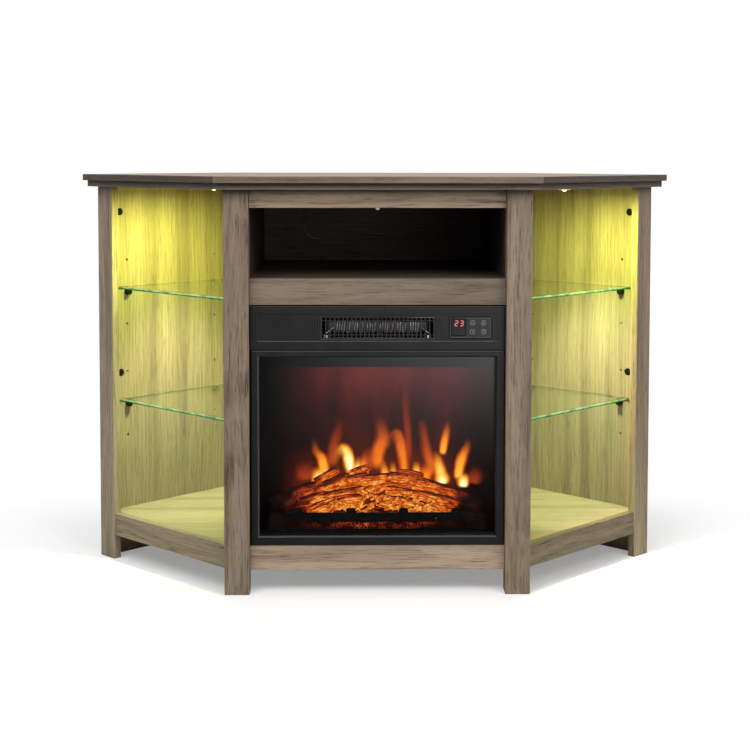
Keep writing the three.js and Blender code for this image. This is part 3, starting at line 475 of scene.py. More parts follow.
def makeFloor():
    mesher = bmesh.new()
    bmesh.ops.create_grid(mesher, x_segments=2, y_segments=2, size=60)
    material, place = newFinish("studioFloor")
    clear = ease(vectorCalc("LENGTH", place * (0.6, 1, 1)), *studio["floorClear"])
    value = ease(noiseOf(place, 60, 3), 0.3, 0.7, studio["floorTone"] - 0.01, studio["floorTone"] + 0.01)
    color = make("ShaderNodeCombineColor", {0: value, 1: value, 2: value})
    matt = make("ShaderNodeBsdfPrincipled",
                {"Base Color": color, "Roughness": 0.9, "Specular IOR Level": 0.0,
                 "Emission Color": grey(1), "Emission Strength": rayKind("Camera") * studio["floorGlow"]})
    surface(make("ShaderNodeMixShader", {0: clear * lookedAt(), 1: matt, 2: emit(grey(1), 1.0)}))
    floor = pieceFrom("studioFloor", mesher, False, [material])


makeFloor()

# A dark card seen in reflections alone keeps the black parts and the pane black. It lies in front of
# the stand and rises behind the camera, and is paler to the right and away from the stand.
flag = {"half": 3.2, "near": -0.255, "turn": -4.6, "top": 3.4, "lift": 4 * mm, "tone": (0.003, 0.5, 3.2)}


def cardFrom(name, rows, material):
    mesher = bmesh.new()
    joinRows(mesher, [[mesher.verts.new(place) for place in row] for row in rows], around=False)
    card = pieceFrom(name, mesher, False, [material])
    card.visible_diffuse = False
    card.visible_shadow = False
    return card


def makeFlag():
    material, place = newFinish("studioFlag")
    pale = ease(place.part("Y"), -0.5, -3.4) * ease(place.part("X"), -0.5, 0.5, kind="LINEAR")
    corner = ease(place.part("Y"), -2.4, -4.4) * ease(place.part("X"), 0.35, 1.3)
    low, high, far = flag["tone"]
    surface(emit(grey(1), low + pale * high + corner * far))
    line = [(flag["near"], flag["lift"]), (flag["turn"], flag["lift"]), (flag["turn"], flag["top"])]
    rows = [[(-flag["half"], y, z), (flag["half"], y, z)] for y, z in line]
    cardFrom("studioFlag", rows, material).visible_camera = False


# The wall just behind the stand lies in its shadow: a dark card, seen only through the cable hole
holeShade = {"x": (-0.2, -0.04), "z": (0.56, 0.72), "behind": 30 * mm}


def makeHoleShade():
    material = newFinish("holeShade")[0]
    back = make("ShaderNodeNewGeometry", output="Backfacing")
    surface(make("ShaderNodeMixShader", {0: back, 1: emit((0.006, 0.006, 0.005, 1), 1.0),
                                         2: make("ShaderNodeBsdfTransparent")}))
    y = highOf("centre_back_panel").y + holeShade["behind"]
    cardFrom("holeShade", [[(x, y, z) for x in holeShade["x"]] for z in holeShade["z"]], material)


makeFlag()
makeHoleShade()
print("studio ready")

# Oak boards. Each has its own place in the log, its grain direction and its own tone, and on some boards the
# tone is partly painted light or shade.
oakTones = {"pale": (151, 131, 112), "mid": (131, 113, 96), "dark": (80, 66, 54)}
boards = {
    "top_board": ("X", 0.88, 0.9), "under_top": ("X", 0.68, 0.9),
    # The top rail's high gain is painted light, making up for the shade under the top.
    "top_rail": ("X", 2.1, 0.9), "middle_rail": ("X", 0.8, 0.9),
    "bottom_rail": ("X", 1.5, 0.9), "hearth_board": ("X", 1.0, 0.9),
    # The cubby shelf's and centre back panel's low gains are painted shade inside the cubby.
    "cubby_shelf": ("X", 0.3, 0.9), "centre_back_panel": ("X", 0.3, 1.2),
    "left_front_post": ("Z", 0.9, 1.3), "right_front_post": ("Z", 1.03, 1.2),
    "left_outer_post": ("Z", 1.2, 1.0), "right_outer_post": ("Z", 1.06, 1.0),
    "left_partition": ("Z", 1.1, 0.6), "right_partition": ("Z", 1.1, 0.6),
    "left_back_panel": ("Z", 1.15, 0.75), "right_back_panel": ("Z", 1.15, 0.65),
    "left_bottom_shelf": ("X", 1.2, 0.6), "right_bottom_shelf": ("X", 1.2, 0.6),
    "left_lower_rail": ("E", 0.96, 1.2), "right_lower_rail": ("D", 0.7, 1.2),
}
turns = {"Z": (0, 0, 0), "X": (0, math.radians(-90), 0),
         "D": (0, math.radians(-90), math.radians(45)), "E": (0, math.radians(-90), math.radians(-45))}
# The slanting front edges of the top lie in shade, from where they meet the middle one
endShade = {"top_board": 0.42, "under_top": 0.8}
edgeTurn = highOf("centre_back_panel").x - 18.5 * mm
# Shade gathered under an overhang: how far down it reaches and how dark it is at the top
topShade = {"under_top": (11 * mm, 0.13), "top_rail": (17 * mm, 0.06),
            "left_front_post": (13 * mm, 0.09), "right_front_post": (13 * mm, 0.12),
            "left_outer_post": (15 * mm, 0.25), "right_outer_post": (15 * mm, 0.25)}
# Painted shade: the partitions' faces toward the cubby are darkened, those toward the open ends are not
cubbyPaintedShade = {"left_partition": 0.16, "right_partition": 0.16}


def stepAt(value, border, halfWidth, low=0.0, high=1.0):
    return ease(value, border - halfWidth, border + halfWidth, low, high)


def oakFinish(name, node, grain, gain, contrast, shift):
    material, place = newFinish(name)
    middle = middleOf(node)
    centred = place - tuple(middle)
    turned = make("ShaderNodeVectorRotate", {"Vector": centred, "Rotation": turns[grain]},
                  rotation_type="EULER_XYZ", invert=True)
    if node in endShade:  # on the edges the grain follows the edge
        upright = ease(facing().part("Z"), 0.6, 0.3)
        along = vectorCalc("DOT_PRODUCT", centred, vectorCalc("CROSS_PRODUCT", facing(), (0, 0, 1)))
        band = make("ShaderNodeCombineXYZ", {"X": centred.part("Z"), "Z": along})
        turned = make("ShaderNodeMix", {0: upright, 4: turned, 5: band}, data_type="VECTOR")
    moved = make("ShaderNodeMapping", {"Vector": turned, "Location": shift})
    colors = {key.capitalize(): tone(*value, gain=gain) for key, value in oakTones.items()}
    figure = useGroup(oakFigure, {"Vector": moved, "Contrast": contrast, **colors,
                                  "Pith": (shift[0] + 0.008, shift[1] + 0.035, shift[2] + 0.12)})
    color = figure["Color"]
    if node in endShade:
        slanting = upright * stepAt(abs(place.part("X")), edgeTurn, 0.5 * mm)
        color = blend(slanting, color, blend(1.0, color, grey(endShade[node]), "MULTIPLY"))
    if node in topShade:
        reach, low = topShade[node]
        top = highOf(node).z
        color = blend(1.0, color, ease(place.part("Z"), top - reach, top, 1.0, low), "MULTIPLY")
    if node in cubbyPaintedShade:
        shade = stepAt(abs(place.part("X")), abs(middle.x), 0.5 * mm, cubbyPaintedShade[node])
        color = blend(1.0, color, shade, "MULTIPLY")
    return closeFinish(material, color, figure["Roughness"], 0.3, (figure["Height"], 0.12 * mm, 0.6))


def softenEdges(piece, width, segments=2, sharp=35, edgeSlot=-1):
    weld = piece.modifiers.new("weld", "WELD")
    weld.merge_threshold = 1e-5
    bevel = piece.modifiers.new("arris", "BEVEL")
    bevel.width = width
    bevel.segments = segments
    bevel.limit_method = "ANGLE"
    bevel.angle_limit = math.radians(sharp)
    bevel.use_clamp_overlap = True
    bevel.material = edgeSlot


def paint(node, *materials):
    slots = nodes[node].data.materials
    slots.clear()
    for material in materials:
        slots.append(material)


random.seed(11)
for node, (grain, gain, contrast) in boards.items():
    shift = tuple(random.uniform(-9, 9) for _ in range(3))
    face = oakFinish("oak_" + node, node, grain, gain, contrast, shift)
    arris = oakFinish("oakArris_" + node, node, grain, gain * 1.12, contrast * 0.6, shift)
    paint(node, face, arris)
    softenEdges(nodes[node], 0.6 * mm, edgeSlot=1)
print("oak boards finished:", len(boards))

# Plain finishes: colour, roughness, grain, clouds, reflection and depth of the grain
skins = {
    "blackPlastic": ((0.0105, 0.0106, 0.0108), 0.42, 1900.0, 0.12, 0.32),
    # a painted highlight: a lighter grey for edges that catch the light
    "plasticEdgePaintedHighlight": ((0.06, 0.061, 0.062), 0.3, 1900.0, 0.12, 0.6),
    "inkBlack": ((0.001, 0.001, 0.001), 0.8, 1900.0, 0.12, 0.05),
    # the ribs are a lighter grey than the fascia: painted highlight
    "ribPlasticPaintedHighlight": ((0.05, 0.051, 0.052), 0.35, 1900.0, 0.12),
    "grillePlastic": ((0.02, 0.02, 0.021), 0.38, 2600.0, 0.1),
    "blackGloss": ((0.02, 0.02, 0.0205), 0.34, 500.0, 0.05, 0.4, 0.004 * mm),
    "displayGloss": ((0.006, 0.0055, 0.0055), 0.15, 500.0, 0.05, 0.5, 0.002 * mm),
    # black steel, made darker still as painted shade inside the firebox
    "blackSteelInPaintedShade": ((0.003, 0.003, 0.0032), 0.6, 1300.0, 0.2, 0.05),
    # darker than bare mica: painted shade of the cavity behind the grille
    "micaBoardPaintedShade": ((0.012, 0.01, 0.008), 0.6, 700.0, 0.35, 0.3, 0.08 * mm),
    "whiteCeramic": ((0.78, 0.77, 0.73), 0.5, 1500.0, 0.05),
    "circuitGreen": ((0.015, 0.11, 0.045), 0.35, 900.0, 0.2, 0.5),
    "rubberBlack": ((0.006, 0.006, 0.006), 0.65, 1500.0, 0.15, 0.15),
    "lightRing": ((0.55, 0.55, 0.5), 0.35, 1800.0, 0.05, 0.5),
}
# Metals: colour, roughness and how fine the lines are along each axis
# The heater duct's zinc is made nearly black: painted shade behind the grille.
metals = {"zincPaintedShade": ((0.016, 0.016, 0.017), 0.6), "zincSteel": ((0.5, 0.51, 0.52), 0.36),
          "alloyWire": ((0.95, 0.94, 0.92), 0.5, (700, 700, 700))}


def skinFinish(name, color, roughness, grain, clouds, specular=0.4, depth=0.04 * mm):
    material, place = newFinish(name)
    skin = useGroup(skinGrain, {"Vector": place, "Color": (*color, 1), "Roughness": roughness,
                                "Grain": grain, "Clouds": clouds})
    return closeFinish(material, skin["Color"], skin["Roughness"], specular,
                       (skin["Height"], depth, 0.5))


def metalFinish(name, color, roughness, stretch=(15, 900, 900)):
    material, place = newFinish(name)
    metal = useGroup(rolledMetal, {"Vector": place, "Color": (*color, 1), "Roughness": roughness,
                                   "Stretch": stretch})
    return closeFinish(material, metal["Color"], metal["Roughness"],
                       bump=(metal["Height"], 0.02 * mm, 0.4), metallic=1.0)


# Arrises of the insert's mouldings, with painted light by their facing: a painted highlight on those facing
# +X, on the left of an opening, and on the ledge below the field, and painted shade on those facing -X
def arrisFinish(name, sideHighlight, ledgeHighlight):
    material, place = newFinish(name)
    across = facing().part("X")
    color = blend(ease(across, 0.2, 0.6), (0.014, 0.014, 0.0145, 1), grey(sideHighlight))
    color = blend(ease(facing().part("Z"), 0.2, 0.6), color, grey(ledgeHighlight))
    color = blend(ease(across, -0.2, -0.6), color, grey(0.002))
    dust = noiseOf(place, 1900, 2)
    return closeFinish(material, color, ease(dust, 0.3, 0.7, 0.3, 0.42), 0.45, (dust, 0.02 * mm, 0.5))


# The ceramic carrier of the winding: dark glaze, with bare white blocks at its two ends
bareEnd = 7 * mm


def terminalFinish():
    material, place = newFinish("ceramicCarrier")
    grit = noiseOf(place, 1500, 2)
    white = blend(grit, (0.66, 0.65, 0.6, 1), (0.86, 0.85, 0.82, 1))
    glaze = blend(grit, (0.004, 0.004, 0.004, 1), (0.012, 0.011, 0.01, 1))
    bare = stepAt(abs(place.part("X")), highOf("heating_terminals").x - bareEnd, 0.3 * mm)
    return closeFinish(material, blend(bare, glaze, white), ease(grit, 0.3, 0.7, 0.45, 0.6), 0.3,
                       (grit, 0.03 * mm, 0.4))


# Glass: clear and slightly green, with greener ground edges. Lamps shine through it.
def glassFinish(name, color, shadowTint):
    material, place = newFinish(name)
    rough = ease(noiseOf(place, (9, 9, 22), 3), 0.4, 0.75, 0.0, 0.006)
    clear = make("ShaderNodeBsdfPrincipled", {"Base Color": color, "Roughness": rough, "IOR": 1.5,
                                              "Transmission Weight": 1.0})
    through = make("ShaderNodeBsdfTransparent", {"Color": shadowTint})
    surface(make("ShaderNodeMixShader", {0: rayKind("Shadow"), 1: clear, 2: through}))
    return material


# A shelf's ground edge: dark green, with a painted highlight on its upper part and a painted glow standing
# in for the display lights shining into it
def glassEdgeFinish(name, node):
    material, place = newFinish(name)
    low, high = lowOf(node).z, highOf(node).z
    swirl = noiseOf(place, (40, 40, 160), 3)
    upper = ease(place.part("Z"), low * 0.75 + high * 0.25, low * 0.35 + high * 0.65)
    paintedHighlight = upper * ease(swirl, 0.3, 0.7, 0.35, 1.0)
    color = blend(paintedHighlight, (0.01, 0.09, 0.02, 1), (0.42, 0.68, 0.3, 1))
    glow = blend(paintedHighlight, (0.0, 0.025, 0.003, 1), (0.12, 0.24, 0.07, 1))
    return closeFinish(material, color, ease(swirl, 0.3, 0.7, 0.18, 0.4), glow=(glow, 1.0))


# A lit piece: its colour and its glow both waver a little between two tones
def litFinish(name, fineness, colors, glows, rough, strength):
    material, place = newFinish(name)
    cell = noiseOf(place, fineness, 2)
    return closeFinish(material, blend(cell, *colors), rough, glow=(blend(cell, *glows), strength))


def printFinish():
    material, place = newFinish("greyPrint")
    worn = noiseOf(place, 2600, 3)
    return closeFinish(material, blend(ease(worn, 0.3, 0.7), grey(0.28), grey(0.54)),
                       ease(worn, 0.3, 0.7, 0.4, 0.6), bump=(worn, 0.01 * mm, 0.4))


finishes = {name: skinFinish(name, *values) for name, values in skins.items()}
finishes.update({name: metalFinish(name, *values) for name, values in metals.items()})
litLens = litFinish("litLens", 900, ((0.7, 0.72, 0.5, 1), (0.85, 0.86, 0.7, 1)),
                    ((0.8, 0.95, 0.25, 1), (1.0, 1.0, 0.6, 1)), 0.4, 2.2)
litRed = litFinish("litRed", 700, ((0.5, 0.03, 0.03, 1), (0.6, 0.06, 0.05, 1)),
                   ((1.0, 0.16, 0.14, 1), (1.0, 0.5, 0.46, 1)), 0.35, 0.8)
greyPrint = printFinish()
arrises = {"window_frame": arrisFinish("frameArris", 0.13, 0.02),
           "control_fascia": arrisFinish("fasciaArris", 0.11, 0.55)}
buttons = ("power_button", "timer_button", "flame_button", "heat_button")
painted = {
    "blackSteelInPaintedShade": ("case_left", "case_right", "case_base", "case_top", "firebox_divider",
                   "case_back", "grate_bar", "blower_wheel"),
    "zincSteel": ("flame_spindle", "spindle_motor", "blower_motor"),
    "rubberBlack": ("cord_gland", *buttons), "circuitGreen": ("control_board", "lamp_board"),
    "zincPaintedShade": ("heater_duct",), "micaBoardPaintedShade": ("heating_card",), "blackGloss": ("control_plate",),
    "displayGloss": ("display_module",),
}
for finish, painting in painted.items():
    for node in painting:
        paint(node, finishes[finish])
for node, arris in arrises.items():
    paint(node, finishes["blackPlastic"], arris)
    softenEdges(nodes[node], 0.5 * mm, sharp=30, edgeSlot=1)
paint("heating_terminals", terminalFinish())
paint("front_glass", glassFinish("paneGlass", (0.97, 0.98, 0.98, 1), (0.93, 0.94, 0.94, 1)))
softened = {"grate_bar": (0.5 * mm, 30), "cord_gland": (0.4 * mm, 30), "control_plate": (0.25 * mm, 40)}
for node, (width, sharp) in softened.items():
    softenEdges(nodes[node], width, sharp=sharp)

shelfGlass = glassFinish("shelfGlass", (0.93, 0.99, 0.95, 1), (0.9, 0.97, 0.92, 1))
shelfEdges = {level: glassEdgeFinish(level + "ShelfEdge", f"left_{level}_glass_shelf")
              for level in ("upper", "lower")}
shelfArris = 0.5 * mm


def makeShelf(side, level):
    node = f"{side}_{level}_glass_shelf"
    sheet = mergedCopy(node)
    sharp = [e for e in sheet.edges if e.calc_face_angle(0) > math.radians(20)]
    bmesh.ops.bevel(sheet, geom=sharp, offset=shelfArris, segments=2, affect="EDGES")
    for face in sheet.faces:
        face.material_index = 1 if abs(face.normal.z) < 0.95 else 0
    shelf = pieceFrom(f"{side}_{level}_shelf_glass", sheet, False, [shelfGlass, shelfEdges[level]])
    settle(shelf, "clear_glass", node)


for side in hands:
    for level in shelfEdges:
        makeShelf(side, level)
print("glass set")


# Geometry Nodes trees
def runTree(name, tree, values, start=None):
    carrier = linkPiece(name + "Start", start or bpy.data.meshes.new(name + "Start"))
    modifier = carrier.modifiers.new("build", "NODES")
    modifier.node_group = tree
    for item in tree.interface.items_tree:
        if item.in_out == "INPUT" and item.name in values:
            modifier[item.identifier] = values[item.name]
    depsgraph = bpy.context.evaluated_depsgraph_get()
    made = bpy.data.meshes.new_from_object(carrier.evaluated_get(depsgraph), depsgraph=depsgraph)
    made.name = name
    bpy.data.objects.remove(carrier)
    return linkPiece(name, made)


def finishTree(geometry, material):
    real = make("GeometryNodeRealizeInstances", {"Geometry": geometry})
    return closeTree({"Geometry": make("GeometryNodeSetMaterial", {"Geometry": real,
                                                                   "Material": material})})


def joined(parts):
    whole = make("GeometryNodeJoinGeometry")
    for part in parts:
        desk["tree"].links.new(part.socket, whole.socket.node.inputs[0])
    return whole


def spreadOf(points, unit, **others):
    return make("GeometryNodeInstanceOnPoints", {"Points": points, "Instance": unit, **others})


# Copies of one unit on points, each facing its point's own way
def makeCopiesTree():
    given = openTree("placedCopies", "GeometryNodeTree", {
        "Geometry": "Geometry", "Unit": "Object", "Finish": "Material"})
    unit = make("GeometryNodeObjectInfo", {"Object": given["Unit"]}, "Geometry")
    way = make("GeometryNodeInputNamedAttribute", {"Name": "facing"}, data_type="FLOAT_VECTOR")
    turn = make("FunctionNodeAlignRotationToVector", {"Vector": way}, axis="Z")
    size = make("GeometryNodeInputNamedAttribute", {"Name": "size"}, data_type="FLOAT")
    return finishTree(spreadOf(given["Geometry"], unit, Rotation=turn, Scale=size), given["Finish"])


copiesTree = makeCopiesTree()


def copiesOf(name, unit, places, material):
    # places: for each copy its place, the way it faces and its size
    points = bpy.data.meshes.new(name + "Points")
    points.from_pydata([place for place, way, size in places], [], [])
    facingWay = points.attributes.new("facing", "FLOAT_VECTOR", "POINT")
    facingWay.data.foreach_set("vector", [v for place, way, size in places for v in way])
    sizes = points.attributes.new("size", "FLOAT", "POINT")
    sizes.data.foreach_set("value", [size for place, way, size in places])
    made = runTree(name, copiesTree, {"Unit": unit, "Finish": material}, points)
    bpy.data.objects.remove(unit)
    return made


def latheUnit(name, profile, sides):
    mesher = bmesh.new()
    latheInto(mesher, profile, sides)
    return pieceFrom(name, mesher)


# Shelf pegs: black caps over the frame's stubs, four under each glass shelf
pegs = {"radius": 6.38 * mm, "length": 9.15 * mm, "round": 0.5 * mm, "sides": 40, "stub": 9 * mm,
        "drop": 6.5 * mm, "front": 60 * mm, "back": 65 * mm, "panelFront": 57 * mm, "panelBack": 45 * mm}
partitionFace = highOf("right_partition").x - pegs["stub"]
backFace = lowOf("centre_back_panel").y
frontFace = lowOf("right_front_post").y
mitreBehind = endReach - (lowOf("right_back_panel").x - backFace) * math.sqrt(0.5)


def onPanel(hand, behind, z):
    return (onWing(hand, board, behind, z), Vector((-hand, -1, 0)).normalized(), 1.0)


def makePegs():
    radius, length, curve = pegs["radius"], pegs["length"], pegs["round"]
    shoulder = [(radius - curve + curve * math.cos(angle), length - curve + curve * math.sin(angle))
                for angle in [math.pi / 8 * i for i in range(5)]]
    profile = [(0, 0.02 * mm), (radius * 0.97, 0.02 * mm), (radius, 0.4 * mm), *shoulder,
               (radius * 0.5, length + 0.05 * mm), (0, length + 0.08 * mm)]
    places = []
    for hand in hands.values():
        for level in shelfEdges:
            z = lowOf(f"right_{level}_glass_shelf").z - pegs["drop"]
            for y in (frontFace + pegs["front"], backFace - pegs["back"]):
                places.append((Vector((hand * partitionFace, y, z)), Vector((hand, 0, 0)), 1.0))
            for behind in (pegs["panelFront"], mitreBehind - pegs["panelBack"]):
                places.append(onPanel(hand, behind, z))
    unit = latheUnit("pegUnit", profile, pegs["sides"])
    settle(copiesOf("shelf_pegs", unit, places, finishes["rubberBlack"]), "black_plastic")


# Cam discs in their sockets on the slanted panels
cams = {"radius": 7.3 * mm, "sink": 0.7 * mm, "thick": 2.1 * mm, "behind": 41.3 * mm,
        "heights": (682 * mm, 362 * mm), "sides": 36}


def slabInto(mesher, place, size):
    bmesh.ops.create_cube(mesher, size=1, matrix=place @ Matrix.Diagonal((*size, 1)))


def makeCams():
    radius, top = cams["radius"], -cams["sink"]
    low = top - cams["thick"]
    profile = [(0, low), (radius, low), (radius, top - 0.3 * mm), (radius - 0.3 * mm, top),
               (radius * 0.62, top), (radius * 0.56, top - 0.5 * mm), (radius * 0.2, top - 0.6 * mm),
               (0, top - 0.9 * mm)]
    mesher = bmesh.new()
    latheInto(mesher, profile, cams["sides"])
    for i in range(3):  # raised bars of the driver slot
        turn = Matrix.Rotation(math.pi / 3 * i, 4, "Z")
        slabInto(mesher, turn @ Matrix.Translation((0, 0, top - 0.45 * mm)),
                 (radius * 1.1, 0.7 * mm, 0.5 * mm))
    unit = pieceFrom("camUnit", mesher, False)
    places = [onPanel(hand, cams["behind"], z) for hand in hands.values() for z in cams["heights"]]
    settle(copiesOf("cam_discs", unit, places, finishes["rubberBlack"]), "black_plastic")


makePegs()
makeCams()

# Display lights: a chromed ring round a lit lens, and the lamps below it: a glow, a soft light
# straight down and a cone that washes the panel behind
lights = {"lens": 9.2 * mm, "bulb": 4.4 * mm, "sides": 64, "outward": 26 * mm,
          "color": (0.74, 1.0, 0.05), "watts": 0.42, "drop": 90 * mm,
          "downColor": (0.8, 1.0, 0.2), "down": 4.0, "downSize": 70 * mm, "below": 8 * mm,
          "washColor": (1.0, 0.93, 0.6), "wash": 32.0, "cone": 62, "washSpot": (-0.1, 0.0)}


def makeDisplayLight(side):
    node = f"{side}_display_light"
    low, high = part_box(node)
    middle = (low + high) / 2
    radius, tall = (high.x - low.x) / 2, high.z - low.z
    rim, bulb, seat = lights["lens"], lights["bulb"], 0.5 * tall
    mesher = bmesh.new()
    place = Matrix.Translation((middle.x, middle.y, low.z))
    dome = [(bulb * math.sin(math.pi / 16 * i), seat - seat * math.cos(math.pi / 16 * i)) for i in range(9)]
    latheInto(mesher, [*dome, (rim * 0.7, seat + 0.3 * mm), (rim, seat)], lights["sides"], place, 1)
    latheInto(mesher, [(rim, seat), (rim + 0.2 * mm, seat - 0.3 * mm), (radius - 1 * mm, seat),
                       (radius, seat + 0.8 * mm), (radius, tall - 0.2 * mm),
                       (radius - 0.2 * mm, tall), (0, tall)], lights["sides"], place)
    bmesh.ops.remove_doubles(mesher, verts=mesher.verts, dist=1e-6)
    puck = pieceFrom(f"{side}_light_puck", mesher, True, [finishes["lightRing"], litLens])
    settle(puck, "lamp_lens", node)
    across = middle.x + math.copysign(lights["outward"], middle.x)
    addLamp(f"{side}Glow", "POINT", (across, middle.y, low.z - lights["drop"]), lights["watts"],
            lights["color"], shadow_soft_size=2 * rim)
    under = Vector((across, middle.y, low.z - lights["below"]))
    addLamp(f"{side}Down", "AREA", under, lights["down"], lights["downColor"],
            under - Vector((0, 0, 1)), shape="SQUARE", size=lights["downSize"])
    back, height = lights["washSpot"]
    addLamp(f"{side}Cone", "SPOT", under, lights["wash"], lights["washColor"],
            (across, highOf(f"{side}_back_panel").y + back, height),
            spot_size=math.radians(lights["cone"]), spot_blend=1.0, shadow_soft_size=0.03)


for side in hands:
    makeDisplayLight(side)


# Remote receiver: a small smooth dome under the top rail
def makeReceiver():
    low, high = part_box("remote_receiver")
    radius, tall = (high.x - low.x) / 2, high.z - low.z
    profile = [(radius * math.sin(math.pi / 20 * i), -tall * math.cos(math.pi / 20 * i)) for i in range(10)]
    mesher = bmesh.new()
    middle = (low + high) / 2
    latheInto(mesher, [*profile, (radius, 0), (0, 0)], 40,
              Matrix.Translation((middle.x, middle.y, high.z)))
    dome = pieceFrom("receiver_dome", mesher, True, [finishes["whiteCeramic"]])
    settle(dome, "white_ceramic", "remote_receiver")


makeReceiver()
print("fittings made")

# Heater grille: upright slats with a short row of cells above and below
grille = {"Pitch": 7.8 * mm, "Slat": 2.2 * mm, "Border": 1.6 * mm, "Bar": 1.2 * mm, "Cell": 5 * mm}
grilleRound = 0.45 * mm


def makeGrilleTree():
    given = openTree("slattedGrille", "GeometryNodeTree", {
        "Geometry": "Geometry", "Width": 0.2, "Height": 0.04, "Depth": 0.003, "Pitch": 0.0078,
        "Slat": 0.0022, "Border": 0.0016, "Bar": 0.0012, "Cell": 0.005, "End": 0.0022, "Count": 25,
        "Middle": "Vector", "Finish": "Material"})
    width, height, depth, end = (given[key] for key in ("Width", "Height", "Depth", "End"))

    def vectorOf(*values):
        return make("ShaderNodeCombineXYZ", dict(enumerate(values)))

    def block(x, y, z):
        return make("GeometryNodeMeshCube", {"Size": vectorOf(x, y, z)})

    def shifted(geometry, way):
        return make("GeometryNodeTransform", {"Geometry": geometry, "Translation": way})

    inner = height - given["Border"] * 2
    start = given["Pitch"] * ((given["Count"] - 1) / -2)
    row = make("GeometryNodeMeshLine", {"Count": given["Count"], "Start Location": vectorOf(start),
                                        "Offset": vectorOf(given["Pitch"])}, mode="OFFSET")
    parts = [spreadOf(row, block(given["Slat"], depth, inner))]
    barRise = inner * 0.5 - (given["Cell"] + given["Bar"] * 0.5)
    rimRise = (height - given["Border"]) * 0.5
    for sign in (-1, 1):
        bar = block(width - end * 2, depth * 0.8, given["Bar"])
        parts.append(shifted(bar, vectorOf(0.0, 0.0, barRise * sign)))
        parts.append(shifted(block(width, depth, given["Border"]), vectorOf(0.0, 0.0, rimRise * sign)))
        parts.append(shifted(block(end, depth, inner), vectorOf((width - end) * 0.5 * sign, 0.0, 0.0)))
    return finishTree(shifted(joined(reversed(parts)), given["Middle"]), given["Finish"])


def makeGrille():
    low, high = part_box("heater_grille")
    size = high - low
    slots = int((size.x - 2 * grille["Border"] + grille["Slat"]) / grille["Pitch"])
    end = (size.x - slots * grille["Pitch"] + grille["Slat"]) / 2
    piece = runTree("heater_grille_slats", makeGrilleTree(), {
        "Width": size.x, "Height": size.z, "Depth": size.y, "End": end, "Count": slots - 1,
        "Middle": (low + high) / 2, "Finish": finishes["grillePlastic"], **grille})
    softenEdges(piece, grilleRound, 3, 40)
    settle(piece, "black_plastic", "heater_grille")


# Three upright ribs on the fascia at each side of the grille
ribs = {"width": 2.1 * mm, "thick": 0.7 * mm, "pitch": 7.1 * mm, "gap": 7.6 * mm, "count": 3,
        "inset": 1.2 * mm, "ahead": 0.25 * mm}


def makeRibs():
    low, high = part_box("heater_grille")
    size = (ribs["width"], ribs["thick"], high.z - low.z - 2 * ribs["inset"])
    mesher = bmesh.new()
    for sign in hands.values():
        for i in range(ribs["count"]):
            place = Vector((sign * (high.x + ribs["gap"] + i * ribs["pitch"]),
                            low.y - ribs["ahead"] + ribs["thick"] / 2, (low.z + high.z) / 2))
            slabInto(mesher, Matrix.Translation(place), size)
    # their lighter finish is a painted highlight
    rail = pieceFrom("fascia_ribs", mesher, False, [finishes["ribPlasticPaintedHighlight"]])
    softenEdges(rail, 0.3 * mm, sharp=40)
    settle(rail, "black_plastic")


# Heating wire: one wire wound round the card, its ends led to the two terminals
def makeWireTree():
    given = openTree("wireAlong", "GeometryNodeTree", {
        "Geometry": "Geometry", "Wire Radius": 0.0006, "Sides": 8, "Finish": "Material"})
    line = make("GeometryNodeMeshToCurve", {"Mesh": given["Geometry"]})
    ring = make("GeometryNodeCurvePrimitiveCircle", {"Resolution": given["Sides"],
                                                     "Radius": given["Wire Radius"]})
    tube = make("GeometryNodeCurveToMesh", {"Curve": line, "Profile Curve": ring, "Fill Caps": True})
    return finishTree(make("GeometryNodeSetShadeSmooth", {"Geometry": tube}), given["Finish"])


winding = {"wire": 0.6 * mm, "pitch": 4.6 * mm, "steps": 26, "sides": 8, "endGap": 24 * mm,
           "terminal": 3.5 * mm}


def makeWinding():
    low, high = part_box("heating_wire")
    wire, steps = winding["wire"], winding["steps"]
    middle = middleOf("heating_card")
    halfThick = high.y - wire - middle.y
    halfTall = high.z - wire - middleOf("heater_grille").z
    centre = high.z - wire - halfTall
    terminal = highOf("heating_terminals").x - winding["terminal"]
    count = int(2 * (highOf("heater_grille").x - winding["endGap"]) / winding["pitch"])
    length = count * winding["pitch"]
    rise = low.z + 4 * wire
    front = middleOf("heating_terminals").y
    lead = [Vector((terminal, front, low.z)), Vector((terminal, front, rise)),
            Vector(((terminal + length / 2) / 2, (front + middle.y - halfThick) / 2,
                    (rise + centre) / 2))]
    path = [Vector((-p.x, p.y, p.z)) for p in lead]
    for i in range(count * steps + 1):
        angle = 2 * math.pi * i / steps
        path.append(Vector((length * (i / (count * steps) - 0.5),
                            middle.y - halfThick * math.cos(angle), centre + halfTall * math.sin(angle))))
    path += reversed(lead)
    line = bpy.data.meshes.new("windingLine")
    line.from_pydata(path, [(i, i + 1) for i in range(len(path) - 1)], [])
    piece = runTree("heating_winding", makeWireTree(), {
        "Wire Radius": wire, "Sides": winding["sides"], "Finish": finishes["alloyWire"]}, line)
    settle(piece, "heating_alloy", "heating_wire")


# A faint light behind the grille, so that the winding shows between the bars
inside = {"watts": 0.085, "wide": 0.17, "tall": 0.018, "behind": 5 * mm, "down": 8 * mm}


def makeInnerLight():
    high = highOf("heater_grille")
    spot = Vector((0, high.y + inside["behind"], high.z - inside["down"]))
    addLamp("heaterLamp", "AREA", spot, inside["watts"], aim=spot + Vector((0, 1, -0.35)),
            shape="RECTANGLE", size=inside["wide"], size_y=inside["tall"])


makeGrille()
makeRibs()
makeWinding()
makeInnerLight()
print("heater made")

# Control plate: display digits, button rings and their plain signs
controls = {"digit": (6.0 * mm, 10.2 * mm), "digitPitch": 9.6 * mm, "segment": 1.05 * mm,
            "slant": 0.08, "raise": 0.12 * mm, "aside": 0.6 * mm, "below": 3.6 * mm}
segmentsOf = {"2": "abged", "3": "abgcd"}
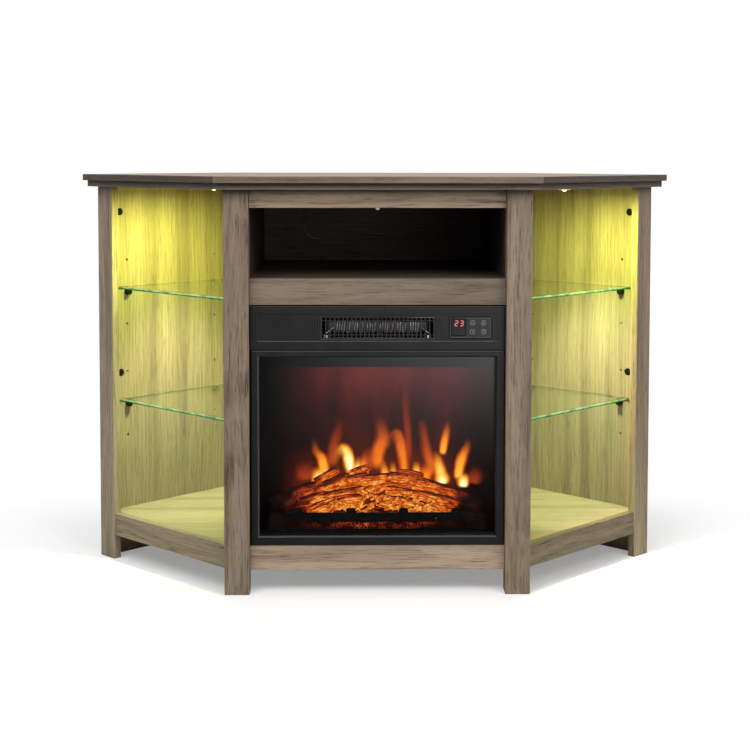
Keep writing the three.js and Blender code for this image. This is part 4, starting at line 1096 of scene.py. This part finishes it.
# Strokes of the buttons' signs, in millimetres. A ring: its outer and inner radius and its facets,
# and in degrees where an open one starts and how far it runs. A bar: its middle, width, height and
# turn. A drop: its width, how much fuller it is below, its half height and its rise.
border = ("ring", 4.4, 3.9, 32)
rays = [math.pi / 4 * k for k in range(8)]
signs = {
    "power_button": [("ring", 2.1, 1.6, 20, 125, 290), ("bar", 0, 1.5, 0.5, 1.9)],
    "timer_button": [("ring", 2.2, 1.75, 24), ("bar", 0, 0.7, 0.45, 1.4), ("bar", 0.5, 0, 1.1, 0.45)],
    "flame_button": [("drop", 1.125, 0.5625, 1.35, 0.15)],
    "heat_button": [*[("bar", math.cos(a) * 2.2, math.sin(a) * 2.2, 0.9, 0.45, a) for a in rays],
                    ("ring", 1.25, 0.8, 20)],
}
signDepths = (-0.1 * mm, 0.05 * mm)  # from the button's face


def segmentOutline(name, width, height, thick):
    # one bar of a seven segment digit, with pointed ends, about the digit's middle
    half, gap = thick / 2, thick * 0.12
    x, z = width / 2 - half, height / 2 - half
    ends = {"a": ((-x, z), (x, z)), "g": ((-x, 0), (x, 0)), "d": ((-x, -z), (x, -z)),
            "f": ((-x, 0), (-x, z)), "b": ((x, 0), (x, z)), "e": ((-x, -z), (-x, 0)),
            "c": ((x, -z), (x, 0))}
    start, end = (Vector(place) for place in ends[name])
    along = (end - start).normalized()
    side = Vector((-along.y, along.x)) * half
    a, b = start + along * gap, end - along * gap
    points = [a, a + along * half - side, b - along * half - side, b,
              b - along * half + side, a + along * half + side]
    return [(p.x, p.y) for p in points]


def makeDigits():
    low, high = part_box("display_module")
    mesher = bmesh.new()
    width, height = controls["digit"]
    middleX = (low.x + high.x) / 2 + controls["aside"]
    middleZ = high.z - controls["below"] - height / 2
    for index, character in enumerate("23"):
        centre = middleX + (index - 0.5) * controls["digitPitch"]
        for name in segmentsOf[character]:
            outline = segmentOutline(name, width, height, controls["segment"])
            slanted = [(centre + x + z * controls["slant"], middleZ + z) for x, z in outline]
            extrudeInto(mesher, slanted, low.y - controls["raise"], low.y + 0.02 * mm)
    settle(pieceFrom("display_digits", mesher, False, [litRed], outward=True), "lamp_lens")


def ringInto(mesher, centre, front, back, outer, inner, steps, start=0, sweep=360):
    closed = sweep == 360
    angles = [math.radians(start + sweep * i / steps) for i in range(steps if closed else steps + 1)]
    rows = [[mesher.verts.new((centre.x + r * mm * math.cos(a), y, centre.z + r * mm * math.sin(a)))
             for r, y in ((outer, front), (outer, back), (inner, back), (inner, front))]
            for a in angles]
    joinRows(mesher, rows, closed=closed)
    if not closed:
        mesher.faces.new(rows[0])
        mesher.faces.new(list(reversed(rows[-1])))


def barInto(mesher, centre, front, back, x, z, width, height, angle=0.0):
    turn = Matrix.Rotation(angle, 2)
    corners = [turn @ Vector((width * i, height * j)) / 2 for i, j in ((-1, -1), (1, -1), (1, 1), (-1, 1))]
    outline = [(centre.x + (x + p.x) * mm, centre.z + (z + p.y) * mm) for p in corners]
    extrudeInto(mesher, outline, front, back)


def dropInto(mesher, centre, front, back, width, fuller, half, rise):
    outline = [(centre.x + math.sin(t) * (width - fuller * math.cos(t)) * mm,
                centre.z + (math.cos(t) * half + rise) * mm)
               for t in [2 * math.pi * i / 20 for i in range(20)]]
    extrudeInto(mesher, outline, front, back)


strokeMakers = {"ring": ringInto, "bar": barInto, "drop": dropInto}


def makeButtonSign(node):
    centre, face = middleOf(node), lowOf(node).y
    mesher = bmesh.new()
    for kind, *sizes in (border, *signs[node]):
        strokeMakers[kind](mesher, centre, *(face + depth for depth in signDepths), *sizes)
    piece = pieceFrom(node + "_sign", mesher, False, [greyPrint], outward=True)
    settle(piece, "black_plastic", on=node)


# Thin bands that follow a piece's outline, in millimetres: how far inside it they begin and end, the
# radius at its corners, how far behind the plate's face they reach, and their finish
bands = {"control_plate_joint": ("control_plate", (-1.5, -0.02), 2.5, (0.2, 1.4), "inkBlack"),
         # The plate's rim is a painted highlight along its edge.
         "control_plate_rim": ("control_plate", (0.25, 1.25), 2.5, (-0.12, 0.1), "plasticEdgePaintedHighlight"),
         "display_joint": ("display_module", (-0.35, 0.9), 1.0, (-0.1, 0.1), "inkBlack")}


def makeBand(name, node, insets, cornerRadius, depths, finish):
    low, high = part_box(node)
    radius = cornerRadius * mm
    front, back = (lowOf("control_plate").y + depth * mm for depth in depths)
    mesher = bmesh.new()

    def corners(inset):
        bend, points = radius - inset * mm, []
        for quarter in range(4):
            x = high.x - radius if quarter in (0, 3) else low.x + radius
            z = high.z - radius if quarter in (0, 1) else low.z + radius
            for i in range(7):
                angle = math.pi / 2 * (quarter + i / 6)
                points.append((x + bend * math.cos(angle), z + bend * math.sin(angle)))
        return points

    rows = [[mesher.verts.new((x, y, z)) for (x, z), y in ((a, front), (a, back), (b, back), (b, front))]
            for a, b in zip(*map(corners, insets))]
    joinRows(mesher, rows, closed=True)
    settle(pieceFrom(name, mesher, False, [finishes[finish]], outward=True), "black_gloss")


makeDigits()
for name, band in bands.items():
    makeBand(name, *band)
for node in buttons:
    makeButtonSign(node)
print("controls made")

# Flame screen: frosted, black, with a dim red glow that stops sharply near its top, and a redder one
# at its foot. A painted sheen of the room's light on the frosting is added to the glow, most at the upper
# right.
screenGlow = {"top": 309 * mm, "left": -118 * mm, "right": 150 * mm,
              "colors": [(0.0, (0.0, 0.0, 0.0)), (0.3, (0.025, 0.001, 0.001)),
                         (0.65, (0.066, 0.004, 0.003)), (1.0, (0.125, 0.011, 0.009))],
              "foot": (0.17, 0.016, 0.004, 1), "paintedSheen": 0.034}


def screenFinish():
    material, place = newFinish("glowingScreen")
    local = place - tuple(onInsert(0, 0, 0))
    x, z = local.part("X"), local.part("Z")
    wisps = noiseOf(local, (16, 16, 5), 3, 0.55, 0.4)
    ghost = noiseOf(local, (28, 28, 7), 3, 0.55, 0.8)
    left, right, top = screenGlow["left"], screenGlow["right"], screenGlow["top"]
    inner = ease(x, left - 0.09, left + 0.06) * ease(x, right + 0.09, right - 0.03)
    below = ease(z, top + 0.001, top - 0.0015)
    warmth = (ease(z, 0.2, 0.3) * 0.55 + ease(wisps, 0.35, 0.7, 0.1, 0.45)) * inner
    warmth = warmth + ease(ghost, 0.45, 0.75, 0, 0.2) * inner
    glow = rampOf(clampedProduct(warmth, below), screenGlow["colors"])
    hearth = ease(z, 0.165, 0.085) * ease(abs(x), 0.19, 0.1)
    hearth = clampedProduct(hearth, ease(ghost, 0.3, 0.7, 0.5, 1.2))
    glow = blend(hearth, glow, screenGlow["foot"])
    # painted sheen of the room's light, growing upward and to the right
    high = ease(z, 0.09, 0.314, kind="LINEAR")
    paintedSheen = high ** 2.1 * ease(x, -0.22, 0.22, 0.04, 1.0, kind="LINEAR")
    glow = blend(paintedSheen, glow, blend(1.0, glow, grey(screenGlow["paintedSheen"]), "ADD"))
    return closeFinish(material, (0.003, 0.002, 0.002, 1), ease(wisps, 0.3, 0.7, 0.5, 0.7), 0.1,
                       glow=(glow, 1.0))


paint("flame_screen", screenFinish())

# Flames: soft ribbons just in front of the screen. Each has its line in millimetres on the
# insert (across, up), its width and its heat.
flames = [
    ([(-98, 92), (-99, 110), (-103, 133), (-114, 150), (-119, 178)], 17, 0.66),
    ([(-111, 84), (-110, 104), (-109, 122)], 21, 1.0),
    ([(-46, 96), (-48, 116), (-55, 142), (-64, 154), (-74, 140), (-77, 118)], 19, 1.0),
    ([(-38, 100), (-35, 118), (-32, 142)], 18, 0.98),
    ([(-26, 108), (-24, 124), (-22, 146)], 12, 0.7),
    ([(0, 110), (2, 142), (11, 172), (9, 196), (3, 226)], 24, 0.42),
    ([(54, 96), (53, 118), (49, 150), (40, 180), (30, 174), (23, 148)], 19, 0.45),
    ([(18, 88), (16, 106), (11, 140)], 14, 0.84),
    ([(33, 88), (33, 106), (30, 134)], 13, 0.84),
    ([(24, 84), (25, 98), (24, 110)], 28, 1.0),
    ([(62, 120), (60, 180), (56, 231), (55, 302)], 13, 0.2),
    ([(77, 96), (76, 112), (75, 133)], 14, 0.86),
    ([(103, 100), (104, 123), (97, 146), (87, 196), (85, 214)], 18, 0.36),
    ([(124, 84), (122, 104), (116, 132), (110, 152)], 19, 0.88),
    ([(125, 84), (124, 100), (122, 112)], 22, 1.0),
    ([(125, 140), (128, 160), (133, 186), (136, 212)], 15, 0.6),
    ([(156, 92), (157, 112), (163, 136), (171, 156), (176, 176)], 18, 0.66),
    ([(165, 78), (166, 96), (165, 110)], 20, 1.0),
    ([(-84, 116), (-81, 150), (-72, 190), (-67, 224)], 20, 0.24),
    ([(-132, 92), (-134, 112), (-130, 132)], 34, 0.2),
    ([(-20, 110), (-14, 140), (-8, 160)], 26, 0.26),
    ([(184, 84), (186, 104), (184, 124)], 26, 0.2),
    ([(92, 92), (96, 112), (94, 132)], 22, 0.45),
]
flameColors = [(0.0, (0.2, 0.015, 0.004)), (0.18, (0.5, 0.06, 0.01)), (0.36, (0.85, 0.17, 0.012)),
               (0.56, (1.0, 0.36, 0.025)), (0.76, (1.0, 0.66, 0.15)), (1.0, (1.0, 0.93, 0.65))]
ribbon = {"columns": 8, "steps": 7, "ahead": 0.5, "apart": 0.12}


def curveThrough(points, steps):
    # a smooth line through the points
    padded = [points[0] * 2 - points[1], *points, points[-1] * 2 - points[-2]]
    made = []
    for i in range(1, len(padded) - 2):
        a, b, c, d = padded[i - 1:i + 3]
        for t in [k / steps for k in range(steps)]:
            made.append(0.5 * (2 * b + (c - a) * t + (2 * a - 5 * b + 4 * c - d) * t * t
                               + (3 * b - a - 3 * c + d) * t ** 3))
    return [*made, points[-1]]


def flameFinish():
    material, place = newFinish("flameLight")
    uv = make("ShaderNodeUVMap", uv_map="ribbonUv")
    across, along = uv.part("X"), uv.part("Y")
    heat = make("ShaderNodeAttribute", output="Fac", attribute_name="ribbonHeat")
    tear = (noiseOf(place, (55, 55, 17), 3, 0.5, 0.4) - 0.5) * 0.55
    core = 1 - (abs(across * 2 - 1) + tear)
    mask = ease(core, 0.06, 0.8) * (ease(along, 1.0, 0.3) * ease(along, 0.0, 0.16))
    warmth = heat * ease(core, 0.0, 0.95, 0.34, 1.0) * ease(along, 0.95, 0.05, 0.5, 1.0)
    alpha = clampedProduct(mask, ease(heat, 0.1, 0.75, 0.4, 1.25))
    return closeFinish(material, grey(0), 1.0, 0.0, glow=(rampOf(warmth, flameColors), 1.35), alpha=alpha)


def makeFlames():
    screenFront = (lowOf("flame_screen").y - insertFoot.y) / mm
    mesher = bmesh.new()
    mapping = mesher.loops.layers.uv.new("ribbonUv")
    heatLayer = mesher.verts.layers.float.new("ribbonHeat")
    columns = ribbon["columns"]
    for index, (line, width, heat) in enumerate(flames):
        centre = curveThrough([Vector(p) for p in line], ribbon["steps"])
        last = len(centre) - 1
        depth = screenFront - ribbon["ahead"] - ribbon["apart"] * index
        rows = []
        for i, point in enumerate(centre):
            way = (centre[min(i + 1, last)] - centre[max(i - 1, 0)]).normalized()
            spread = width * (0.75 + 0.95 * math.sin(math.pi * (0.15 + 0.8 * (i / last))))
            side = Vector((way.y, -way.x)) * spread / 2
            spots = [point + side * (2 * k / columns - 1) for k in range(columns + 1)]
            rows.append([mesher.verts.new(onInsert(spot.x, depth, spot.y)) for spot in spots])
            for vert in rows[-1]:
                vert[heatLayer] = heat
        mapFaces(joinRows(mesher, rows, around=False), columns, mapping,
                 lambda i, k: (k / columns, i / last))
    for face in mesher.faces:
        face.normal_update()
        if face.normal.y > 0:
            face.normal_flip()
    piece = pieceFrom("flame_show", mesher, True, [flameFinish()])
    piece.visible_shadow = False
    settle(piece, "frosted_screen")


makeFlames()

# Logs: the frame's own pile, with bark, split ends and glowing cracks. Each runs from one place to
# another, in shares of half the bed's length, of its depth and of the pile's height, and has a
# radius and the millimetres that it bows up by.
pile = {"height": 125 * mm, "bark": 0.13, "rings": 56, "sides": 44}
logs = [
    ((-0.98, 0.72, 0.4), (-0.06, 0.78, 0.82), 0.19, 5), ((0.98, 0.72, 0.38), (0.1, 0.78, 0.8), 0.185, 5),
    ((-0.2, 0.62, 0.78), (0.3, 0.66, 0.8), 0.125, 3), ((-0.58, 0.7, 0.78), (-0.36, 0.74, 0.96), 0.075, 0),
    ((-0.26, 0.74, 0.9), (-0.05, 0.76, 1.0), 0.07, 0), ((0.2, 0.74, 0.92), (0.44, 0.72, 0.86), 0.065, 0),
    ((-0.72, 0.48, 0.46), (-0.08, 0.56, 0.66), 0.159, 0), ((0.76, 0.48, 0.44), (0.08, 0.56, 0.64), 0.152, 0),
    ((-0.64, 0.27, 0.36), (-0.12, 0.3, 0.56), 0.128, 6), ((0.58, 0.27, 0.35), (0.03, 0.3, 0.53), 0.128, 6),
    ((-0.16, 0.36, 0.62), (0.13, 0.7, 0.77), 0.098, 0), ((-0.86, 0.36, 0.4), (-0.76, 0.58, 0.66), 0.091, 0),
]
fireColors = [(0.0, (0.003, 0.0004, 0.0003)), (0.16, (0.05, 0.004, 0.002)), (0.36, (0.3, 0.03, 0.004)),
              (0.56, (0.66, 0.08, 0.002)), (0.78, (0.9, 0.15, 0.004)), (0.92, (1.0, 0.32, 0.015)),
              (1.0, (1.0, 0.6, 0.12))]


def heatOf(place, middle, halfWidth, halfHeight):
    return useGroup(fireHeat, {"Vector": place, "Middle": tuple(onInsert(*middle)),
                               "Half Width": halfWidth, "Half Height": halfHeight})


def logFinish(name, stretch, gain, dark, barkMap=None):
    # stretch: how fine the fibres are along each axis, of the bark's flat map where it has one
    material, place = newFinish(name)
    flat = make("ShaderNodeUVMap", uv_map=barkMap) if barkMap else place
    heat = heatOf(place, (0, 75, 70), 0.185, 0.095)
    near = ease(place.part("Y"), onInsert(0, 110, 0).y, onInsert(0, 20, 0).y, 0.72, 1.18)
    crack = ease(edgesOfCells(flat * tuple(0.5 * v for v in stretch), 1.0), 0.12, 0.01)
    curl = noiseOf(flat, tuple(1.1 * v for v in stretch), 4, 0.6, 1.2)
    stroke = ease(abs(curl - 0.5), 0.05, 0.004)
    ridge = ease(facing().part("Z") + noiseOf(place, 60, 3) * 0.5, 0.86, 1.2)
    body = ease(curl, 0.32, 0.68, 0.46, 0.74) * ease(noiseOf(place, 55, 3), 0.32, 0.62, 0.62, 1.08)
    glow = (body + stroke * 0.46) * (1 - crack * dark)
    glow = glow * ease(noiseOf(place, 150, 3), 0.36, 0.56, 0.72, 1.0) * (1 - ridge * 0.88)
    glow = clampedProduct(glow * near * gain, heat["Heat"])
    base = blend(curl, (0.002, 0.0005, 0.0005, 1), (0.01, 0.003, 0.0015, 1))
    return closeFinish(material, base, ease(curl, 0.3, 0.7, 0.7, 0.95), 0.12,
                       (curl - crack * 1.2, 0.8 * mm, 0.8), (rampOf(glow, fireColors), 1.0))


def logInto(mesher, mapping, seed, startShare, endShare, radius, rise):
    bedLow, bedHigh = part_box("ember_bed")
    half, depth = (bedHigh.x - bedLow.x) / 2, bedHigh.y - bedLow.y
    start, end = (Vector((across * half, bedLow.y + back * depth, insertFoot.z + up * pile["height"]))
                  for across, back, up in (startShare, endShare))
    length = (end - start).length
    turn = Vector((0, 0, 1)).rotation_difference(end - start)
    scale = math.sqrt(pile["height"] * depth) * radius
    rings, sides = pile["rings"], pile["sides"]
    rows = []
    for i in range(rings + 1):
        share = i / rings
        taper = 1 - 0.25 * (2 * share - 1) ** 4
        bow = Vector((0, 0, rise * mm * math.sin(math.pi * share)))
        row = []
        for angle in [2 * math.pi * k / sides for k in range(sides)]:
            ripple = math.sin(2 * angle + seed + 7 * share) + math.sin(3 * angle + 2.3 * seed)
            spot = Vector((math.cos(angle) * 2.2, math.sin(angle) * 2.2, share * length * 26 + 10 * seed))
            furrow = abs(noise.noise(Vector((spot.x * 2.6, spot.y * 2.6, spot.z * 0.8))))
            knob = noise.noise(spot * 0.55)
            size = scale * taper * (1 + pile["bark"] * ripple / 2 + 0.12 * knob - 0.16 * furrow)
            jag = 0.22 * noise.noise(Vector((angle * 1.7, seed, i))) * scale if i in (0, rings) else 0.0
            row.append(mesher.verts.new(start + bow + turn @ Vector((
                size * math.cos(angle), size * math.sin(angle), share * length + jag))))
        rows.append(row)
    around = 2 * math.pi * scale
    mapFaces(joinRows(mesher, rows), sides, mapping,
             lambda i, k: (k / sides * around + seed, i / rings * length))
    for row, sign in ((rows[0], 1), (rows[-1], -1)):
        centre = sum((v.co for v in row), Vector()) / sides
        inner = [mesher.verts.new(centre.lerp(v.co, 0.5) + turn @ Vector((0, 0, sign * 0.12 * scale)))
                 for v in row]
        hub = mesher.verts.new(centre + turn @ Vector((0, 0, sign * 0.2 * scale)))
        for k in range(sides):
            j = (k + 1) % sides
            for corners in ([row[k], row[j], inner[j], inner[k]], [inner[k], inner[j], hub]):
                face = mesher.faces.new(corners if sign < 0 else list(reversed(corners)))
                for loop in face.loops:
                    loop[mapping].uv = (loop.vert.co.x + seed, loop.vert.co.z)


def makeLogs():
    mesher = bmesh.new()
    mapping = mesher.loops.layers.uv.new("barkUv")
    for seed, log in enumerate(logs):
        logInto(mesher, mapping, seed, *log)
    finish = logFinish("litLogResin", (270, 34, 1), 1.34, 0.42, "barkUv")
    settle(pieceFrom("glowing_logs", mesher, True, [finish], outward=True), "log_resin", "log_set")


# Kindling: small glowing twigs heaped over the middle of the bed, in front of the logs. The heap's
# own measures are millimetres on the insert.
kindling = {"count": 46, "length": 30 * mm, "radius": 2.9 * mm, "seed": 23, "half": 104,
            "depths": (30, 50), "foot": 52, "mound": 30, "slope": 0.3}


def makeKindling():
    radius, length = kindling["radius"], kindling["length"]
    profile = [(0, -length * 0.46), (radius * 0.7, -length * 0.5), (radius * 0.95, -length * 0.3),
               (radius * 0.85, 0), (radius, length * 0.3), (radius * 0.8, length * 0.5), (0, length * 0.46)]
    unit = latheUnit("twigUnit", profile, 11)
    for vert in unit.data.vertices:
        spot = vert.co * 420
        push = [noise.noise(spot + Vector((0, 0, 7 * axis))) for axis in range(3)]
        vert.co += 0.28 * radius * Vector(push)
    generator = random.Random(kindling["seed"])
    places = []
    for index in range(kindling["count"]):
        share = 2 * (index + generator.random()) / kindling["count"] - 1
        depth = generator.uniform(*kindling["depths"])
        rise = (kindling["foot"] + (1 - share * share) * generator.uniform(0, kindling["mound"])
                + (depth - kindling["depths"][0]) * kindling["slope"])
        tilt = generator.choice((-1, 1)) * generator.uniform(0.1, 0.95) + (0.2 if share < 0 else -0.2)
        way = Vector((math.cos(tilt), generator.uniform(-0.5, 0.3), math.sin(tilt))).normalized()
        place = onInsert(share * kindling["half"], depth, rise)
        places.append((place, way, generator.uniform(0.6, 1.25)))
    finish = logFinish("litKindling", (230, 230, 230), 1.22, 0.4)
    settle(copiesOf("kindling_twigs", unit, places, finish), "log_resin")


makeLogs()
makeKindling()

# Ember bed: the frame's lumpy bed, strewn with coals
coals = {"sizes": (4.5 * mm, 9.5 * mm), "spacing": 6.5 * mm, "seed": 5, "corners": 15,
         "bedRise": 25 * mm, "sink": 3.2 * mm}
emberColors = [(0.0, (0.002, 0.0003, 0.0002)), (0.3, (0.05, 0.004, 0.002)), (0.55, (0.22, 0.02, 0.004)),
               (0.8, (0.36, 0.035, 0.008)), (1.0, (0.7, 0.13, 0.015))]


def emberFinish(name, strength, cracks):
    material, place = newFinish(name)
    heat = heatOf(place, (0, 34, 52), 0.2, 0.05)
    crack = ease(edgesOfCells(place, 210.0), 0.2, 0.02)
    grain = noiseOf(place, 300, 3)
    glow = crack * cracks * ease(heat["Patch"], 0.35, 0.65) + ease(grain, 0.5, 0.8, 0, strength)
    light = rampOf(clampedProduct(glow, heat["Heat"]), emberColors)
    base = blend(grain, (0.001, 0.0004, 0.0004, 1), (0.004, 0.0015, 0.001, 1))
    return closeFinish(material, base, ease(grain, 0.3, 0.7, 0.75, 0.95), 0.1,
                       (grain, 0.5 * mm, 0.8), (light, 1.0))


def coalUnit(name, seed):
    generator = random.Random(seed)
    mesher = bmesh.new()
    for _ in range(coals["corners"]):
        way = Vector([generator.gauss(0, 1) for _ in range(3)]).normalized()
        mesher.verts.new(Vector((way.x, way.y * 0.8, way.z * 0.7)))
    bmesh.ops.convex_hull(mesher, input=mesher.verts)
    return pieceFrom(name, mesher, False)


def makeCoalTree():
    given = openTree("strewnCoals", "GeometryNodeTree", {
        "Geometry": "Geometry", "First": "Object", "Second": "Object", "Third": "Object",
        "Spacing": 0.007, "Smallest": 0.004, "Largest": 0.01, "Seed": 1, "Finish": "Material"})
    points = make("GeometryNodeDistributePointsOnFaces",
                  {"Mesh": given["Geometry"], "Distance Min": given["Spacing"],
                   "Density Max": 30000.0, "Seed": given["Seed"]}, distribute_method="POISSON")
    units = joined([make("GeometryNodeObjectInfo", {"Object": given[label], "As Instance": True},
                         "Geometry") for label in ("First", "Second", "Third")])
    turn = make("FunctionNodeRandomValue", {0: (0, 0, 0), 1: (6.28, 6.28, 6.28),
                                            "Seed": given["Seed"]}, data_type="FLOAT_VECTOR")
    size = make("FunctionNodeRandomValue", {2: given["Smallest"], 3: given["Largest"], "Seed": 3},
                data_type="FLOAT")
    others = {"Pick Instance": True, "Rotation": make("FunctionNodeEulerToRotation", {0: turn}),
              "Scale": size}
    return finishTree(spreadOf(points, units, **others), given["Finish"])


def makeEmbers():
    bed = mergedCopy("ember_bed")
    bmesh.ops.triangulate(bed, faces=bed.faces)
    floor = lowOf("ember_bed").z + coals["bedRise"]
    carpet = bmesh.new()
    copies = {}
    for face in bed.faces:
        if face.normal.z > 0.5 and face.calc_center_median().z > floor:
            for vert in face.verts:
                if vert.index not in copies:
                    copies[vert.index] = carpet.verts.new(vert.co - Vector((0, 0, coals["sink"])))
            carpet.faces.new([copies[v.index] for v in face.verts])
    start = bpy.data.meshes.new("coalCarpet")
    carpet.to_mesh(start)
    carpet.free()
    resin = pieceFrom("ember_bed_resin", bed, False, [emberFinish("emberBedResin", 0.25, 1.0)])
    settle(resin, "ember_resin", "ember_bed")
    units = [coalUnit(f"coalUnit{i}", 40 + i) for i in range(3)]
    smallest, largest = (size / 1.6 for size in coals["sizes"])  # a unit is about 1.6 across
    piece = runTree("ember_coals", makeCoalTree(), {
        "First": units[0], "Second": units[1], "Third": units[2], "Spacing": coals["spacing"],
        "Smallest": smallest, "Largest": largest, "Seed": coals["seed"],
        "Finish": emberFinish("coalResin", 0.5, 0.8)}, start)
    for unit in units:
        bpy.data.objects.remove(unit)
    settle(piece, "ember_resin")


makeEmbers()
print("fire made")

# Glow of the fire on the logs and the firebox: place on the insert, watts and colour
fireLamps = [((-60, 70, 150), 0.5, (1.0, 0.38, 0.08)), ((70, 70, 150), 0.5, (1.0, 0.38, 0.08)),
             ((0, 40, 20), 0.12, (1.0, 0.12, 0.03))]
for index, (spot, watts, color) in enumerate(fireLamps):
    addLamp(f"fireGlow{index}", "POINT", onInsert(*spot), watts, color, shadow_soft_size=0.02)

print("finished")
